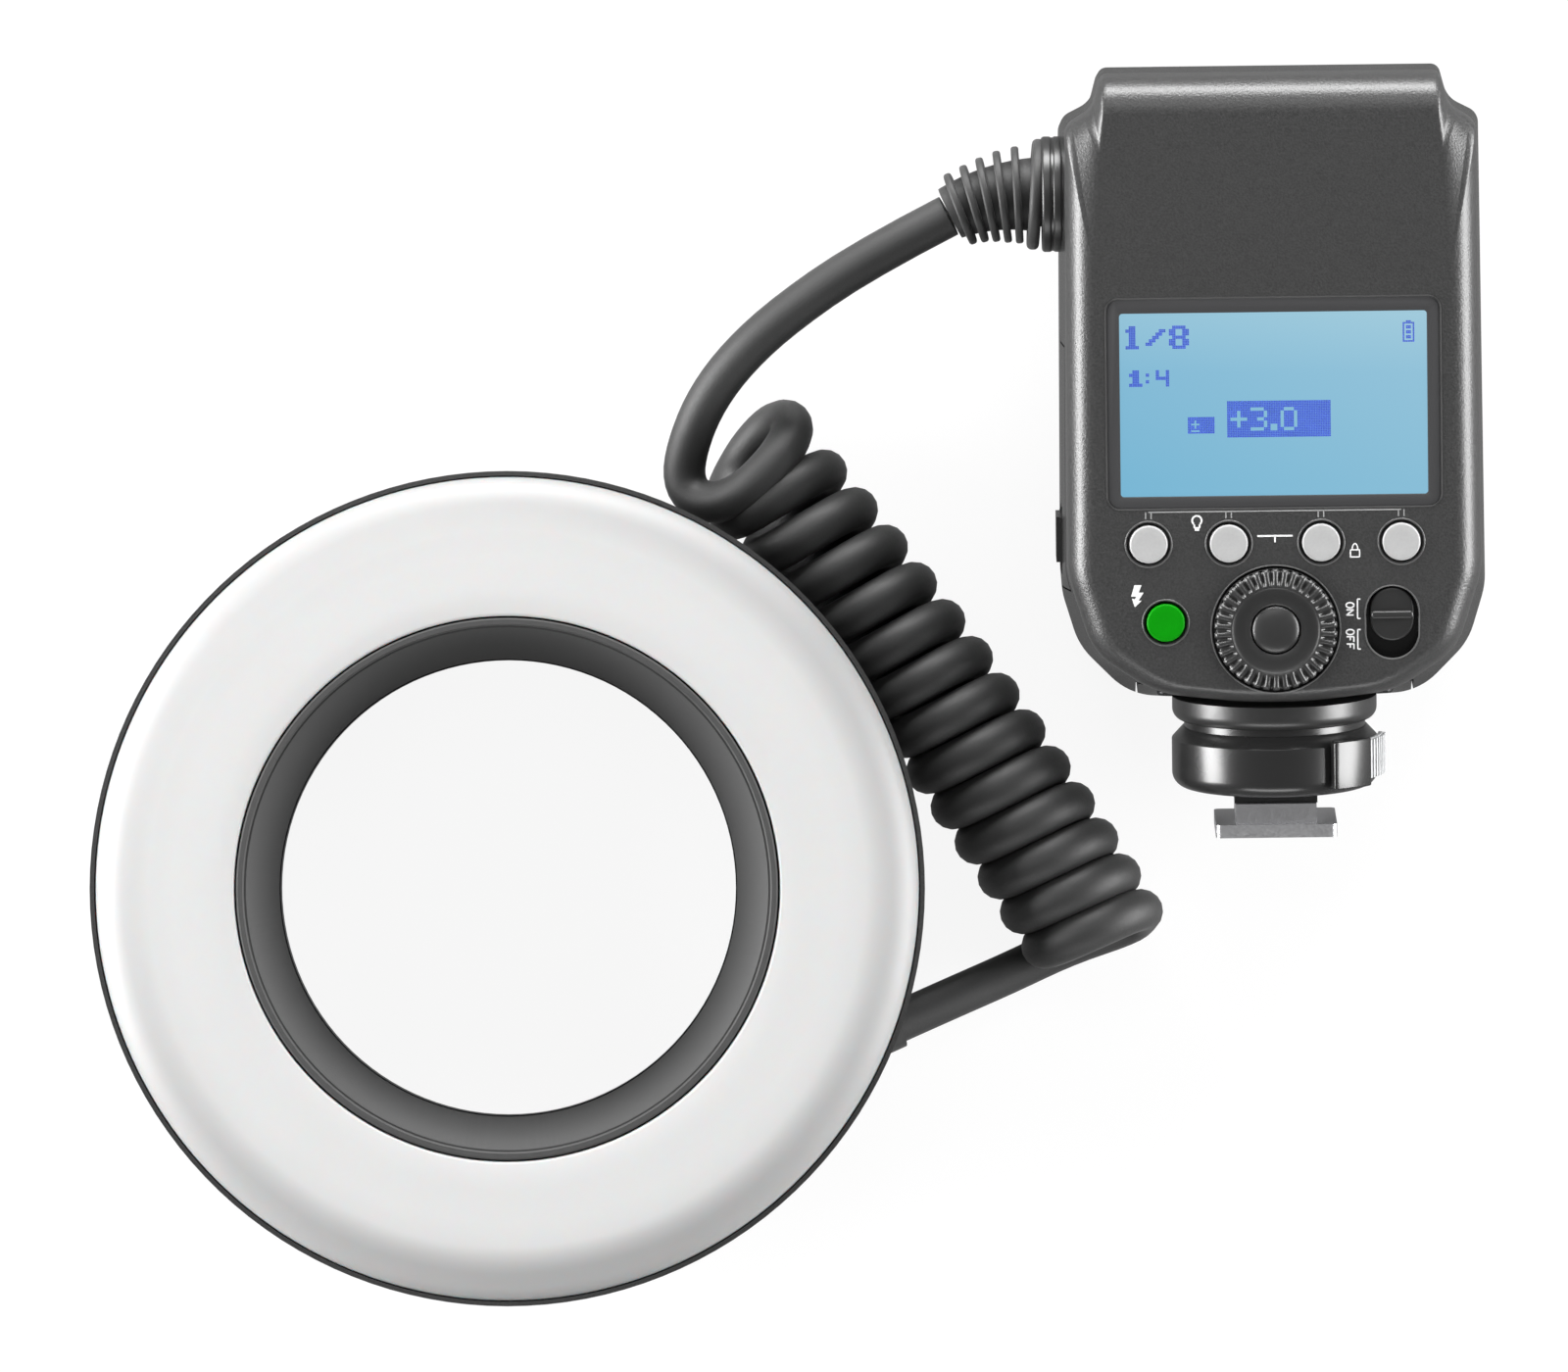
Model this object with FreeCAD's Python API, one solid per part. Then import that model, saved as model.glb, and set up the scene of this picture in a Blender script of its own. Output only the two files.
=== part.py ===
"""Macro ring flash: a ring head, a curly cord and a shoe-mounted controller, laid flat on a table.

Millimetres. The origin is on the ring head's optical axis, on the table that the adapter's thread
stands on. +Z points out of the flash, +X towards the controller.
"""
import FreeCAD
import Part
import os
from math import cos, pi, radians, sin, sqrt, tan

V = FreeCAD.Vector

# General fits
SEAM = 0.3            # gap between neighbouring housings
SLIDE_GAP = 0.15      # gap round a key or a slider
RUNNING_GAP = 0.05    # gap of a shaft in its bore

# Adapter ring, heights up from the table
LENS_BORE_R = 35.0
THREAD_R = 38.4
THREAD_LENGTH = 3.5
ADAPTER_FLANGE_R = 45.5
ADAPTER_FLANGE_T = 2.2
SPIGOT_R = 41.0
SPIGOT_LENGTH = 4.7
GROOVE_DEPTH = 1.2
GROOVE_WIDTH = 2.1

# Ring head
HEAD_R = 64.0
RIM_T = 0.7
RIM_HEIGHT = 27.0
HEAD_FRONT = 31.0
HEAD_WALL = 1.8
HEAD_BACK_R = 54.5
BAFFLE_FRONT_R = 41.5
BAFFLE_REAR_R = 35.2
BAFFLE_LIP = 0.8
BAFFLE_WALL = 1.2
DIFFUSER_WALL = 2.0
DIFFUSER_SHOULDER = 6.0
TUBE_RING_R = 52.4
TUBE_R = 2.5
TUBE_SPAN = 160.0
LED_COUNT = 8
LED_SIZE = 3.0
BOARD_T = 1.6

# Adapter latches
LATCH_T = 1.7
LATCH_ARM = 12.0
LATCH_PIVOT_R = 48.0
LATCH_BAR = 5.0
LATCH_PIN_R = 1.5
LATCH_TRAVEL = 7.0

# Where the controller lies: the middle of its foot, its lean and its turn on the table
FOOT_X = 117.9
FOOT_Y = 9.05
FOOT_Z = 17.0
LEAN = 8.0
TURN = 0.7

# Controller body, seen from behind: u to the right, v up from the foot's underside, w out of the panel
BODY_HALF = 32.5
BODY_BASE = 19.9
BODY_TOP = 118.1
HOOD_HALF = 25.9
BODY_WALL = 1.8
PANEL_W = 18.0
SPLIT_W = 8.0
REAR_STEP = 0.8
EDGE_ROLL = 5.5
NOSE_ROLL = 4.0
HOOD_SLOPE = 4.0
BASE_HALF = 21.0
BASE_CURVE = 80.0

# Display
WINDOW_V = 68.4
WINDOW_WIDTH = 51.3
WINDOW_HEIGHT = 32.6
WINDOW_CORNER = 2.1
WINDOW_T = 0.8
WINDOW_SUNK = 0.2
SCREEN_WIDTH = 47.5
SCREEN_HEIGHT = 28.4

# Keys, dial and switch
KEY_R = 2.9
KEY_V = 46.8
KEY_U = (-19.3, -7.05, 7.05, 19.3)
KEY_PROUD = 0.4
KEY_TRAVEL = 0.6
KEY_BEVEL = 0.5
TEST_U = -16.8
TEST_V = 34.7
DIAL_V = 33.5
DIAL_R = 9.4
DIAL_WELL_R = 9.95
DIAL_PROUD = 1.3
DIAL_DISC_R = 6.7
DIAL_GROOVES = 38
SET_R = 3.65
SET_TRAVEL = 0.5
SWITCH_U = 17.8
SWITCH_V = 34.4
SWITCH_WELL_WIDTH = 8.4
SWITCH_WELL_LENGTH = 11.5
SWITCH_WIDTH = 6.8
SWITCH_LENGTH = 8.3
SWITCH_TRAVEL = 2.2

# Boards and electronics
CONTROL_BOARD_W = 9.0
MAIN_BOARD_W = -4.6
CAPACITOR_R = 9.5
CAPACITOR_LENGTH = 43.0
CAPACITOR_V = 98.8
BATTERY_LENGTH = 58.0
BATTERY_HEIGHT = 37.4
BATTERY_DEPTH = 20.0
BATTERY_V = 57.0
BATTERY_W = -4.0
BATTERY_GAP = 0.3
BAY_WALL = 1.2
LATCH_V = 45.3

# Port cover on the right side
PORT_V = 91.0
PORT_LENGTH = 14.0
PORT_W = -7.0
PORT_HEIGHT = 9.0
PORT_T = 1.0

# Screws
HOUSING_SCREWS = ((-25.5, 32.8), (25.5, 32.8), (-20.5, 112.4), (20.5, 112.4))
BASE_SCREW_U = 16.5
BASE_SCREW_W = 6.4
BOARD_POSTS = ((-27.2, 41.0), (27.2, 41.0), (-27.2, 86.0), (27.2, 86.0))
MAIN_POSTS = ((-22.5, 82.0), (27.5, 82.0), (-22.5, 104.0), (27.5, 104.0))

# Foot
FOOT_WIDTH = 18.6
FOOT_LENGTH = 18.0
FOOT_PLATE_T = 2.0
FOOT_NECK_WIDTH = 12.4
FOOT_BLOCK_V = 5.0
COLLAR_V = 7.4
COLLAR_R = 15.8
NECK_V = 15.2
NECK_R = 14.0
FLANGE_V = 18.5
FLANGE_R = 15.75
FOOT_CORE_R = 10.9
LEVER_RING_R = 13.1
LEVER_R = 17.2
LEVER_START = 32.0
LEVER_END = 56.0
PAD_END = 88.0
PAD_R = 16.6
LEVER_SWING = 30.0
LOCK_PIN_R = 1.0
LOCK_PIN_W = -6.0

# Cord
CORD_D = 6.5
COIL_D = 22.1
RELIEF_V = 98.3
RELIEF_W = -3.0
SOCKET_R = 8.7
RELIEF_FLANGE_R = 8.5
RELIEF_RIBS = 5
RELIEF_LENGTH = 12.6
RELIEF_BEND_R = 28.0
LEAD_POINTS = [
    V(67.6, 103.1, 27.4),
    V(54.4, 96.3, 26.2),
    V(41.8, 87.5, 23.6),
    V(34.7, 80.8, 21.2),
    V(30.2, 74.5, 18.6),
    V(27.9, 68.3, 15.9),
    V(27.4, 62.0, 13.2),
]
COIL_POINTS = [
    V(34.8, 66.7, COIL_D / 2),
    V(48.3, 50.8, COIL_D / 2),
    V(61.4, 34.3, COIL_D / 2),
    V(72.6, 18.6, COIL_D / 2),
    V(83.9, 0.8, COIL_D / 2),
    V(92.9, -13.6, COIL_D / 2),
]
TAIL_START = V(86.0, -8.9, 3.4)
GLAND_ENTRY = V(51.5, -24.4, 9.6)
GLAND_R = 4.0
GLAND_OUT = 9.0
GLAND_IN = 3.0


# Helpers for points, wires and plain solids

def on_circle(radius, angle, z=0.0):
    """The point at an angle in degrees on a level circle about the Z axis."""
    return V(radius * cos(radians(angle)), radius * sin(radians(angle)), z)


def rounded_wire(corners, place=lambda x, y: V(x, y, 0)):
    """A closed wire through corners (x, y, radius), with an arc at each corner."""
    edges = []
    last = None
    first = None
    count = len(corners)
    for i, (x, y, radius) in enumerate(corners):
        corner = V(x, y, 0)
        before = V(corners[i - 1][0], corners[i - 1][1], 0) - corner
        after = V(corners[(i + 1) % count][0], corners[(i + 1) % count][1], 0) - corner
        before.normalize()
        after.normalize()
        half = before.getAngle(after) / 2
        start = corner
        end = corner
        if radius > 0:
            start = corner + before * (radius / tan(half))
            end = corner + after * (radius / tan(half))
            middle = before + after
            middle.normalize()
            middle = corner + middle * (radius / sin(half) - radius)
        if last is not None:
            edges.append(Part.LineSegment(place(last.x, last.y), place(start.x, start.y)).toShape())
        else:
            first = start
        if radius > 0:
            points = [place(p.x, p.y) for p in (start, middle, end)]
            edges.append(Part.Arc(*points).toShape())
        last = end
    edges.append(Part.LineSegment(place(last.x, last.y), place(first.x, first.y)).toShape())
    return Part.Wire(edges)


def plain(points):
    """Corners with no rounding."""
    return [(x, y, 0.0) for x, y in points]


def rounded_box(width, height, radius, u=0.0, v=0.0):
    """Corners of a rectangle with rounded corners about (u, v)."""
    x = width / 2
    y = height / 2
    return [(u - x, v - y, radius), (u + x, v - y, radius), (u + x, v + y, radius), (u - x, v + y, radius)]


def slot_outline(width, length, u, v):
    """Corners of an upright slot with nearly round ends."""
    return rounded_box(width, length, width / 2 - 0.01, u, v)


def prism(corners, low, high):
    """An upright solid between two heights."""
    face = Part.Face(rounded_wire(corners, lambda x, y: V(x, y, low)))
    return face.extrude(V(0, 0, high - low))


def turned(corners, angle=360.0, start=0.0):
    """A solid turned about the Z axis from corners (radius, height, rounding)."""
    face = Part.Face(rounded_wire(corners, lambda x, y: V(x, 0, y)))
    solid = face.revolve(V(0, 0, 0), V(0, 0, 1), angle)
    solid.rotate(V(0, 0, 0), V(0, 0, 1), start)
    return solid


def ring(inner, outer, low, high):
    """A plain turned ring."""
    return turned(plain([(inner, low), (outer, low), (outer, high), (inner, high)]))


def box(u0, u1, v0, v1, w0, w1):
    """A box between limits on each axis."""
    return Part.makeBox(u1 - u0, v1 - v0, w1 - w0, V(u0, v0, w0))


def rod(radius, base, tip):
    """A cylinder from one point to another."""
    run = tip - base
    return Part.makeCylinder(radius, run.Length, base, run)


def upright(radius, u, v, low, high):
    """A cylinder along the third axis."""
    return rod(radius, V(u, v, low), V(u, v, high))


def fused(solids):
    """One shape from solids that touch or overlap."""
    return solids[0].multiFuse(solids[1:]).removeSplitter()


def tube(points, radius):
    """A round tube along straight runs joined by arcs, each as large as its two runs allow."""
    edges = []
    radii = []
    last = points[0]
    for before, corner, after in zip(points, points[1:], points[2:]):
        back = before - corner
        ahead = after - corner
        reach = 0.45 * min(back.Length, ahead.Length)
        back.normalize()
        ahead.normalize()
        half_turn = (pi - back.getAngle(ahead)) / 2
        bend = reach / tan(half_turn)
        inwards = back + ahead
        inwards.normalize()
        start = corner + back * reach
        end = corner + ahead * reach
        middle = corner + inwards * (bend / cos(half_turn) - bend)
        edges.append(Part.LineSegment(last, start).toShape())
        edges.append(Part.Arc(start, middle, end).toShape())
        radii.append(bend)
        last = end
    edges.append(Part.LineSegment(last, points[-1]).toShape())
    path = Part.Wire(edges)
    circle = Part.Wire(Part.makeCircle(radius, points[0], points[1] - points[0]))
    solid = path.makePipeShell([circle], True, True)
    share = solid.Volume / (pi * radius ** 2 * path.Length)
    print("cord radii", [round(r, 1) for r in radii], "length", round(path.Length, 1),
          "volume share", round(share, 4))
    return solid


# Ring head

ADAPTER_FLANGE_TOP = THREAD_LENGTH + ADAPTER_FLANGE_T
SPIGOT_TOP = ADAPTER_FLANGE_TOP + SPIGOT_LENGTH
GROOVE_LOW = SPIGOT_TOP - 0.4 - GROOVE_WIDTH
SHELL_BACK = ADAPTER_FLANGE_TOP + SEAM
SHELL_FLOOR = SHELL_BACK + HEAD_WALL
SEAT_LOW = SPIGOT_TOP + SEAM
SEAT_TOP = SEAT_LOW + 1.0
LATCH_LOW = SHELL_FLOOR + SEAM
LATCH_TOP = LATCH_LOW + LATCH_T
RING_BOARD_LOW = LATCH_TOP + 0.8
RING_BOARD_TOP = RING_BOARD_LOW + BOARD_T
REFLECTOR_LOW = RING_BOARD_TOP + 2.6
REFLECTOR_T = 1.0
LEDGE_Z = RIM_HEIGHT - 2.8
RIM_LOW = RIM_HEIGHT - 4.6
FLARE_Z = RIM_HEIGHT - 10.0
FLARE_R = HEAD_R - 4.7
INNER_TUBE_R = SPIGOT_R + 0.1
RING_BOARD_R = 49.8
RING_SCREW_R = 46.4
RING_SCREW_ANGLES = (45.0, 135.0, 225.0, 315.0)
LATCH_ANGLES = {"adapter_latch_left": 180.0, "adapter_latch_right": 0.0}


def latch_shape(gap=0.0):
    """A rocking latch on the +X side: a bar across the pivot, a claw above and a button below."""
    half = LATCH_BAR / 2 + gap
    low = LATCH_LOW - gap
    height = LATCH_T + 2 * gap
    bar = prism([(LATCH_PIVOT_R - half, -LATCH_ARM, 0), (LATCH_PIVOT_R + half, -LATCH_ARM, 0),
                 (LATCH_PIVOT_R + half, LATCH_ARM, 0), (LATCH_PIVOT_R - half, LATCH_ARM, 0)],
                low, low + height)
    claw_low = LATCH_ARM - 4
    claw_tip = sqrt((SPIGOT_R - GROOVE_DEPTH + 0.2) ** 2 - claw_low ** 2)
    claw = box(claw_tip - gap, LATCH_PIVOT_R, claw_low - gap, LATCH_ARM + gap, low, low + height)
    button_r = HEAD_BACK_R + 4.0
    button = box(LATCH_PIVOT_R, button_r + gap, -LATCH_ARM - gap, -LATCH_ARM + 6 + gap, low, low + height)
    return fused([bar, claw, button])


def adapter_ring():
    """The screw-in ring that the lens carries, with a groove for the latches."""
    return turned(plain([
        (LENS_BORE_R, 0), (THREAD_R, 0), (THREAD_R, THREAD_LENGTH),
        (ADAPTER_FLANGE_R, THREAD_LENGTH), (ADAPTER_FLANGE_R, ADAPTER_FLANGE_TOP),
        (SPIGOT_R, ADAPTER_FLANGE_TOP), (SPIGOT_R, GROOVE_LOW),
        (SPIGOT_R - GROOVE_DEPTH, GROOVE_LOW), (SPIGOT_R - GROOVE_DEPTH, GROOVE_LOW + GROOVE_WIDTH),
        (SPIGOT_R, GROOVE_LOW + GROOVE_WIDTH), (SPIGOT_R, SPIGOT_TOP), (LENS_BORE_R, SPIGOT_TOP)]))


def gland_line():
    """The cord's straight line into the ring head: its direction, inwards."""
    run = GLAND_ENTRY - TAIL_START
    run.normalize()
    return run


def ring_rear_shell():
    """The head's black shell: back plate, flared side, rim, bore tube and the seat of the baffle."""
    wall = HEAD_WALL
    solid = turned(plain([
        (INNER_TUBE_R, SHELL_BACK), (HEAD_BACK_R, SHELL_BACK), (HEAD_BACK_R + 1.2, SHELL_BACK + 1.2),
        (FLARE_R, FLARE_Z), (HEAD_R, RIM_LOW), (HEAD_R, RIM_HEIGHT),
        (HEAD_R - RIM_T, RIM_HEIGHT), (HEAD_R - RIM_T, LEDGE_Z), (HEAD_R - wall - 0.4, LEDGE_Z),
        (FLARE_R - wall, FLARE_Z + 1.2), (HEAD_BACK_R - 0.6, SHELL_FLOOR),
        (INNER_TUBE_R + wall, SHELL_FLOOR), (INNER_TUBE_R + wall, SEAT_TOP),
        (SPIGOT_R - 2.8, SEAT_TOP), (SPIGOT_R - 2.8, SEAT_LOW), (INNER_TUBE_R, SEAT_LOW)]))
    for angle in RING_SCREW_ANGLES:
        spot = on_circle(RING_SCREW_R, angle, SHELL_FLOOR - 0.5)
        solid = solid.fuse(rod(3.0, spot, V(spot.x, spot.y, RING_BOARD_LOW)))
        solid = solid.cut(ring_screw(angle))
        head = on_circle(RING_SCREW_R, angle, SHELL_BACK - 1)
        solid = solid.cut(rod(2.3, head, V(head.x, head.y, SHELL_BACK + 0.6)))
    for angle in LATCH_ANGLES.values():
        pivot = on_circle(LATCH_PIVOT_R, angle, SHELL_FLOOR - 1)
        solid = solid.cut(swept_latch(angle, 0.35))
        solid = solid.cut(rod(LATCH_PIN_R, pivot, V(pivot.x, pivot.y, SHELL_FLOOR + 1)))
    inwards = gland_line()
    return solid.cut(rod(GLAND_R, GLAND_ENTRY - inwards * GLAND_OUT, GLAND_ENTRY + inwards * 10))


def swept_latch(angle, gap):
    """The room that a latch needs over its travel."""
    cuts = []
    for swing in (0.0, LATCH_TRAVEL / 2, LATCH_TRAVEL):
        shape = latch_shape(gap)
        shape.rotate(V(LATCH_PIVOT_R, 0, 0), V(0, 0, 1), -swing)
        cuts.append(shape)
    room = fused(cuts)
    room.rotate(V(0, 0, 0), V(0, 0, 1), angle)
    return room


def adapter_latch(angle):
    """One latch, placed at its side of the head."""
    solid = latch_shape()
    solid = solid.cut(rod(LATCH_PIN_R + RUNNING_GAP, V(LATCH_PIVOT_R, 0, 0), V(LATCH_PIVOT_R, 0, 20)))
    solid.rotate(V(0, 0, 0), V(0, 0, 1), angle)
    return solid


def latch_pins():
    """The pins that the latches rock on, with a washer head above each latch."""
    pins = []
    for angle in LATCH_ANGLES.values():
        base = on_circle(LATCH_PIVOT_R, angle, SHELL_FLOOR - 1)
        top = LATCH_TOP + 0.1
        pin = rod(LATCH_PIN_R, base, V(base.x, base.y, top))
        head = rod(LATCH_PIN_R + 0.9, V(base.x, base.y, top), V(base.x, base.y, top + 0.6))
        pins.append(pin.fuse(head).removeSplitter())
    return Part.makeCompound(pins)


def ring_screw(angle):
    """One screw through the back plate into the board's boss."""
    spot = on_circle(RING_SCREW_R, angle, SHELL_BACK + 0.2)
    head = rod(2.2, spot, V(spot.x, spot.y, SHELL_BACK + 1.4))
    shank = rod(1.1, spot, V(spot.x, spot.y, RING_BOARD_LOW - 0.1))
    return head.fuse(shank).removeSplitter()


def ring_gland():
    """The cord's gland, a sleeve through the side of the head."""
    inwards = gland_line()
    return rod(GLAND_R, GLAND_ENTRY - inwards * GLAND_OUT, GLAND_ENTRY + inwards * GLAND_IN)


def ring_board():
    """The head's circuit board, a flat ring on four bosses."""
    return ring(INNER_TUBE_R + HEAD_WALL + SEAM, RING_BOARD_R, RING_BOARD_LOW, RING_BOARD_TOP)


def ring_reflector():
    """The bright trough behind the tubes, standing on feet on the board."""
    inner = BAFFLE_FRONT_R + 0.3
    outer = FLARE_R - 3.8
    low = REFLECTOR_LOW
    top = LEDGE_Z - 0.4
    floor = low + REFLECTOR_T
    trough = turned(plain([
        (inner, low), (outer, low), (outer + 4.6, top), (outer + 3.6, top),
        (outer - 0.8, floor), (inner + 1.5, floor), (inner + 1.5, top), (inner, top)]))
    feet = []
    for angle in RING_SCREW_ANGLES:
        spot = on_circle(RING_SCREW_R, angle, RING_BOARD_TOP)
        feet.append(rod(2.0, spot, V(spot.x, spot.y, low + 0.5)))
    return fused([trough] + feet)


def flash_tube(middle_angle):
    """One curved glass flash tube that spans nearly half of the ring."""
    sides = 10
    section = []
    for i in range(sides):
        angle = 2 * pi * i / sides
        section.append((TUBE_RING_R + TUBE_R * cos(angle), tube_height() + TUBE_R * sin(angle)))
    return turned(plain(section), TUBE_SPAN, middle_angle - TUBE_SPAN / 2)


def tube_height():
    """Height of the tubes' centreline, just above the trough's floor."""
    return REFLECTOR_LOW + REFLECTOR_T + TUBE_R + 0.9


def tube_end_caps():
    """The caps on the tubes' ends, which stand on the trough's floor."""
    caps = []
    for middle in (90.0, 270.0):
        for side in (-1, 1):
            angle = middle + side * TUBE_SPAN / 2
            end = on_circle(TUBE_RING_R, angle, tube_height())
            along = on_circle(1.0, angle + side * 90.0)
            cap = rod(TUBE_R + 0.7, end, end + along * 3.0)
            stand = rod(1.2, V(end.x, end.y, REFLECTOR_LOW + REFLECTOR_T) + along * 1.5, end + along * 1.5)
            caps.append(cap.fuse(stand).removeSplitter())
    return Part.makeCompound(caps)


def model_leds():
    """Modelling lamps on the trough's floor, evenly round the ring."""
    leds = []
    floor = REFLECTOR_LOW + REFLECTOR_T
    for i in range(LED_COUNT):
        angle = (i + 0.5) * 360.0 / LED_COUNT
        led = box(TUBE_RING_R - 4.6 - LED_SIZE / 2, TUBE_RING_R - 4.6 + LED_SIZE / 2,
                  -LED_SIZE / 2, LED_SIZE / 2, floor, floor + 1.0)
        led.rotate(V(0, 0, 0), V(0, 0, 1), angle)
        leds.append(led)
    return Part.makeCompound(leds)


def ring_baffle():
    """The dark cone in the head's hole: a lip in front, a cone down to the lens and an outer sleeve."""
    lip_r = BAFFLE_FRONT_R - BAFFLE_LIP
    wall = BAFFLE_WALL
    return turned(plain([
        (BAFFLE_REAR_R, SEAT_LOW), (lip_r, HEAD_FRONT), (BAFFLE_FRONT_R, HEAD_FRONT),
        (BAFFLE_FRONT_R, SEAT_TOP), (BAFFLE_FRONT_R - wall, SEAT_TOP),
        (BAFFLE_FRONT_R - wall, HEAD_FRONT - 4.5), (BAFFLE_REAR_R + wall, SEAT_LOW)]))


def ring_diffuser():
    """The white front: a flat ring with a broad rounded outer shoulder and walls that seat on the head."""
    outer = HEAD_R - RIM_T - 0.1
    inner = BAFFLE_FRONT_R + 0.3
    wall = DIFFUSER_WALL
    shoulder = DIFFUSER_SHOULDER
    curve = []
    for i in range(4):
        angle = radians(90.0 * i / 3)
        curve.append((outer - shoulder + shoulder * cos(angle), HEAD_FRONT - shoulder + shoulder * sin(angle)))
    return turned(plain([(outer - wall / 2, LEDGE_Z), (outer, LEDGE_Z)] + curve + [
        (inner, HEAD_FRONT), (inner, LEDGE_Z - 0.4), (inner + wall * 0.8, LEDGE_Z - 0.4),
        (inner + wall * 0.8, HEAD_FRONT - wall), (outer - wall - shoulder / 2, HEAD_FRONT - wall)]))


# Controller outlines: half of each, from the hood down to the base, then mirrored

def full_outline(half, base):
    """Corners of a whole outline from its right half and the middle of its base."""
    left = [(-u, v, r) for u, v, r in half]
    return left + [(0.0, base, BASE_CURVE)] + half[::-1]


def front_outline(drop=0.0, inset=0.0):
    """The front cover's outline; drop lowers the hood, inset draws all sides in."""
    side = BODY_HALF - inset
    base = BODY_BASE + inset
    top = BODY_TOP - drop - inset
    hood = HOOD_HALF - inset
    half = [
        (hood, top, 1.5), (hood + 1.4, top - 5.2, 4.0), (side - 0.5, top - 7.6, 2.5),
        (side, base + 17.6, 12.0), (side - 2.6, base + 9.0, 11.0), (side - 10.2, base + 1.3, 10.0)]
    return full_outline(half, base)


def rear_outline(inset=0.0):
    """The rear cover's outline at the split, drawn in at the sides and more at the lower corners."""
    side = BODY_HALF - REAR_STEP - inset
    base = BODY_BASE + 1.2 + inset
    top = BODY_TOP - inset
    hood = HOOD_HALF - inset
    half = [
        (hood, top, 1.5), (hood + 1.4, top - 5.2, 4.0), (side - 0.3, top - 7.8, 2.5),
        (side, base + 20.6, 14.0), (side - 3.8, base + 8.5, 10.0), (side - 13.2, base + 2.1, 16.0)]
    return full_outline(half, base)


def panel_outline(inset=0.0):
    """Where the panel's flat face ends and its edge starts to roll over."""
    side = BODY_HALF - REAR_STEP - 3.4 - inset
    base = BODY_BASE + 1.2 + 3.6 + inset
    top = BODY_TOP - EDGE_ROLL - inset
    hood = HOOD_HALF - 1.2 - inset
    half = [
        (hood, top, 1.2), (hood + 0.7, top - 12.0, 20.0), (side - 0.4, top - 30.0, 20.0),
        (side, base + 18.0, 13.0), (side - 3.4, base + 7.6, 9.0), (side - 12.0, base + 1.9, 14.0)]
    return full_outline(half, base)


def blended(outer, inner, share):
    """Corners part of the way from one outline to another."""
    return [tuple(a + (b - a) * share for a, b in zip(p, q)) for p, q in zip(outer, inner)]


def at_height(corners, height):
    """The wire of an outline at one height above the foot's axis."""
    return rounded_wire(corners, lambda u, v: V(u, v, height))


def on_rest(corners, lift):
    """The wire of an outline on the plane that lies on the table, or a lift above it."""
    slope = tan(radians(LEAN))
    return rounded_wire(corners, lambda u, v: V(u, v, lift - FOOT_Z / cos(radians(LEAN)) - v * slope))


def rear_form():
    """The rear cover's outer form: straight sides, then an edge that rolls over to the flat panel."""
    wires = [at_height(rear_outline(), SPLIT_W)]
    steps = 3
    for i in range(steps + 1):
        angle = radians(90.0 * i / steps)
        corners = blended(rear_outline(), panel_outline(), 1 - cos(angle))
        wires.append(at_height(corners, PANEL_W - EDGE_ROLL + EDGE_ROLL * sin(angle)))
    return Part.makeLoft(wires, True, True)


def front_form():
    """The front cover's outer form: a wedge that lies on the table, with rounded front edges."""
    drop = HOOD_SLOPE
    wires = [at_height(rear_outline(), SPLIT_W), at_height(front_outline(), 0.0)]
    for share in (1.0, 0.3, 0.0):
        inset = NOSE_ROLL * (1 - sqrt(1 - (1 - share) ** 2)) * 0.8
        wires.append(on_rest(front_outline(drop, inset), NOSE_ROLL * share))
    return Part.makeLoft(wires, True, True)


REST_SLOPE = tan(radians(LEAN))
REST_W = -FOOT_Z / cos(radians(LEAN))
KEY_HOLE_R = KEY_R + SLIDE_GAP
PANEL_INNER = PANEL_W - BODY_WALL
CONTROL_BOARD_TOP = CONTROL_BOARD_W + BOARD_T
MAIN_BOARD_TOP = MAIN_BOARD_W + BOARD_T
SWITCH_TOP = CONTROL_BOARD_TOP + 2.4
FLANGE_INNER = PANEL_INNER - RUNNING_GAP
KEY_FLANGE_T = 0.6
DIAL_FLANGE_T = 0.8
POST_R = 5.0
KNOB_V = SWITCH_V + (SWITCH_WELL_LENGTH - SWITCH_LENGTH) / 2 - 0.4
CLAMP_U = -BODY_HALF + BODY_WALL + 0.8
FLANGE_TOP = BODY_BASE + 1.1
PORT_CENTRES = (PORT_V - 3.2, PORT_V + 3.2)
PORT_LOW = MAIN_BOARD_W - 4.2
RELIEF_FLANGE_U = -BODY_HALF - 4.2
LEVER_LOW = COLLAR_V + 2.1
LEVER_HIGH = LEVER_LOW + 3.4
ARM_START = LEVER_START + 8.0
ARM_END = ARM_START + 10.0


def rest_at(v):
    """The third coordinate of the resting face at a height v of the body."""
    return REST_W - v * REST_SLOPE


def around_foot(shape):
    """Turns a shape made about the Z axis so that its axis is the foot's, and Z becomes v."""
    placed = shape.copy()
    placed.rotate(V(0, 0, 0), V(1, 0, 0), -90)
    return placed


def foot_sector(inner, outer, start, end, low, high):
    """A sector of a ring about the foot's axis, with angles from w towards u."""
    shape = turned(plain([(inner, low), (outer, low), (outer, high), (inner, high)]), end - start)
    shape.rotate(V(0, 0, 0), V(0, 0, 1), 90 - end)
    flipped = shape.copy()
    flipped.rotate(V(0, 0, 0), V(1, 0, 0), -90)
    return flipped.mirror(V(0, 0, 0), V(0, 0, 1))


def rear_hollow():
    """The hollow inside the rear cover."""
    wall = BODY_WALL
    return Part.makeLoft([
        at_height(rear_outline(wall), SPLIT_W - 1), at_height(rear_outline(wall), PANEL_W - EDGE_ROLL),
        at_height(panel_outline(wall / 3), PANEL_INNER)], True, True)


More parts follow.
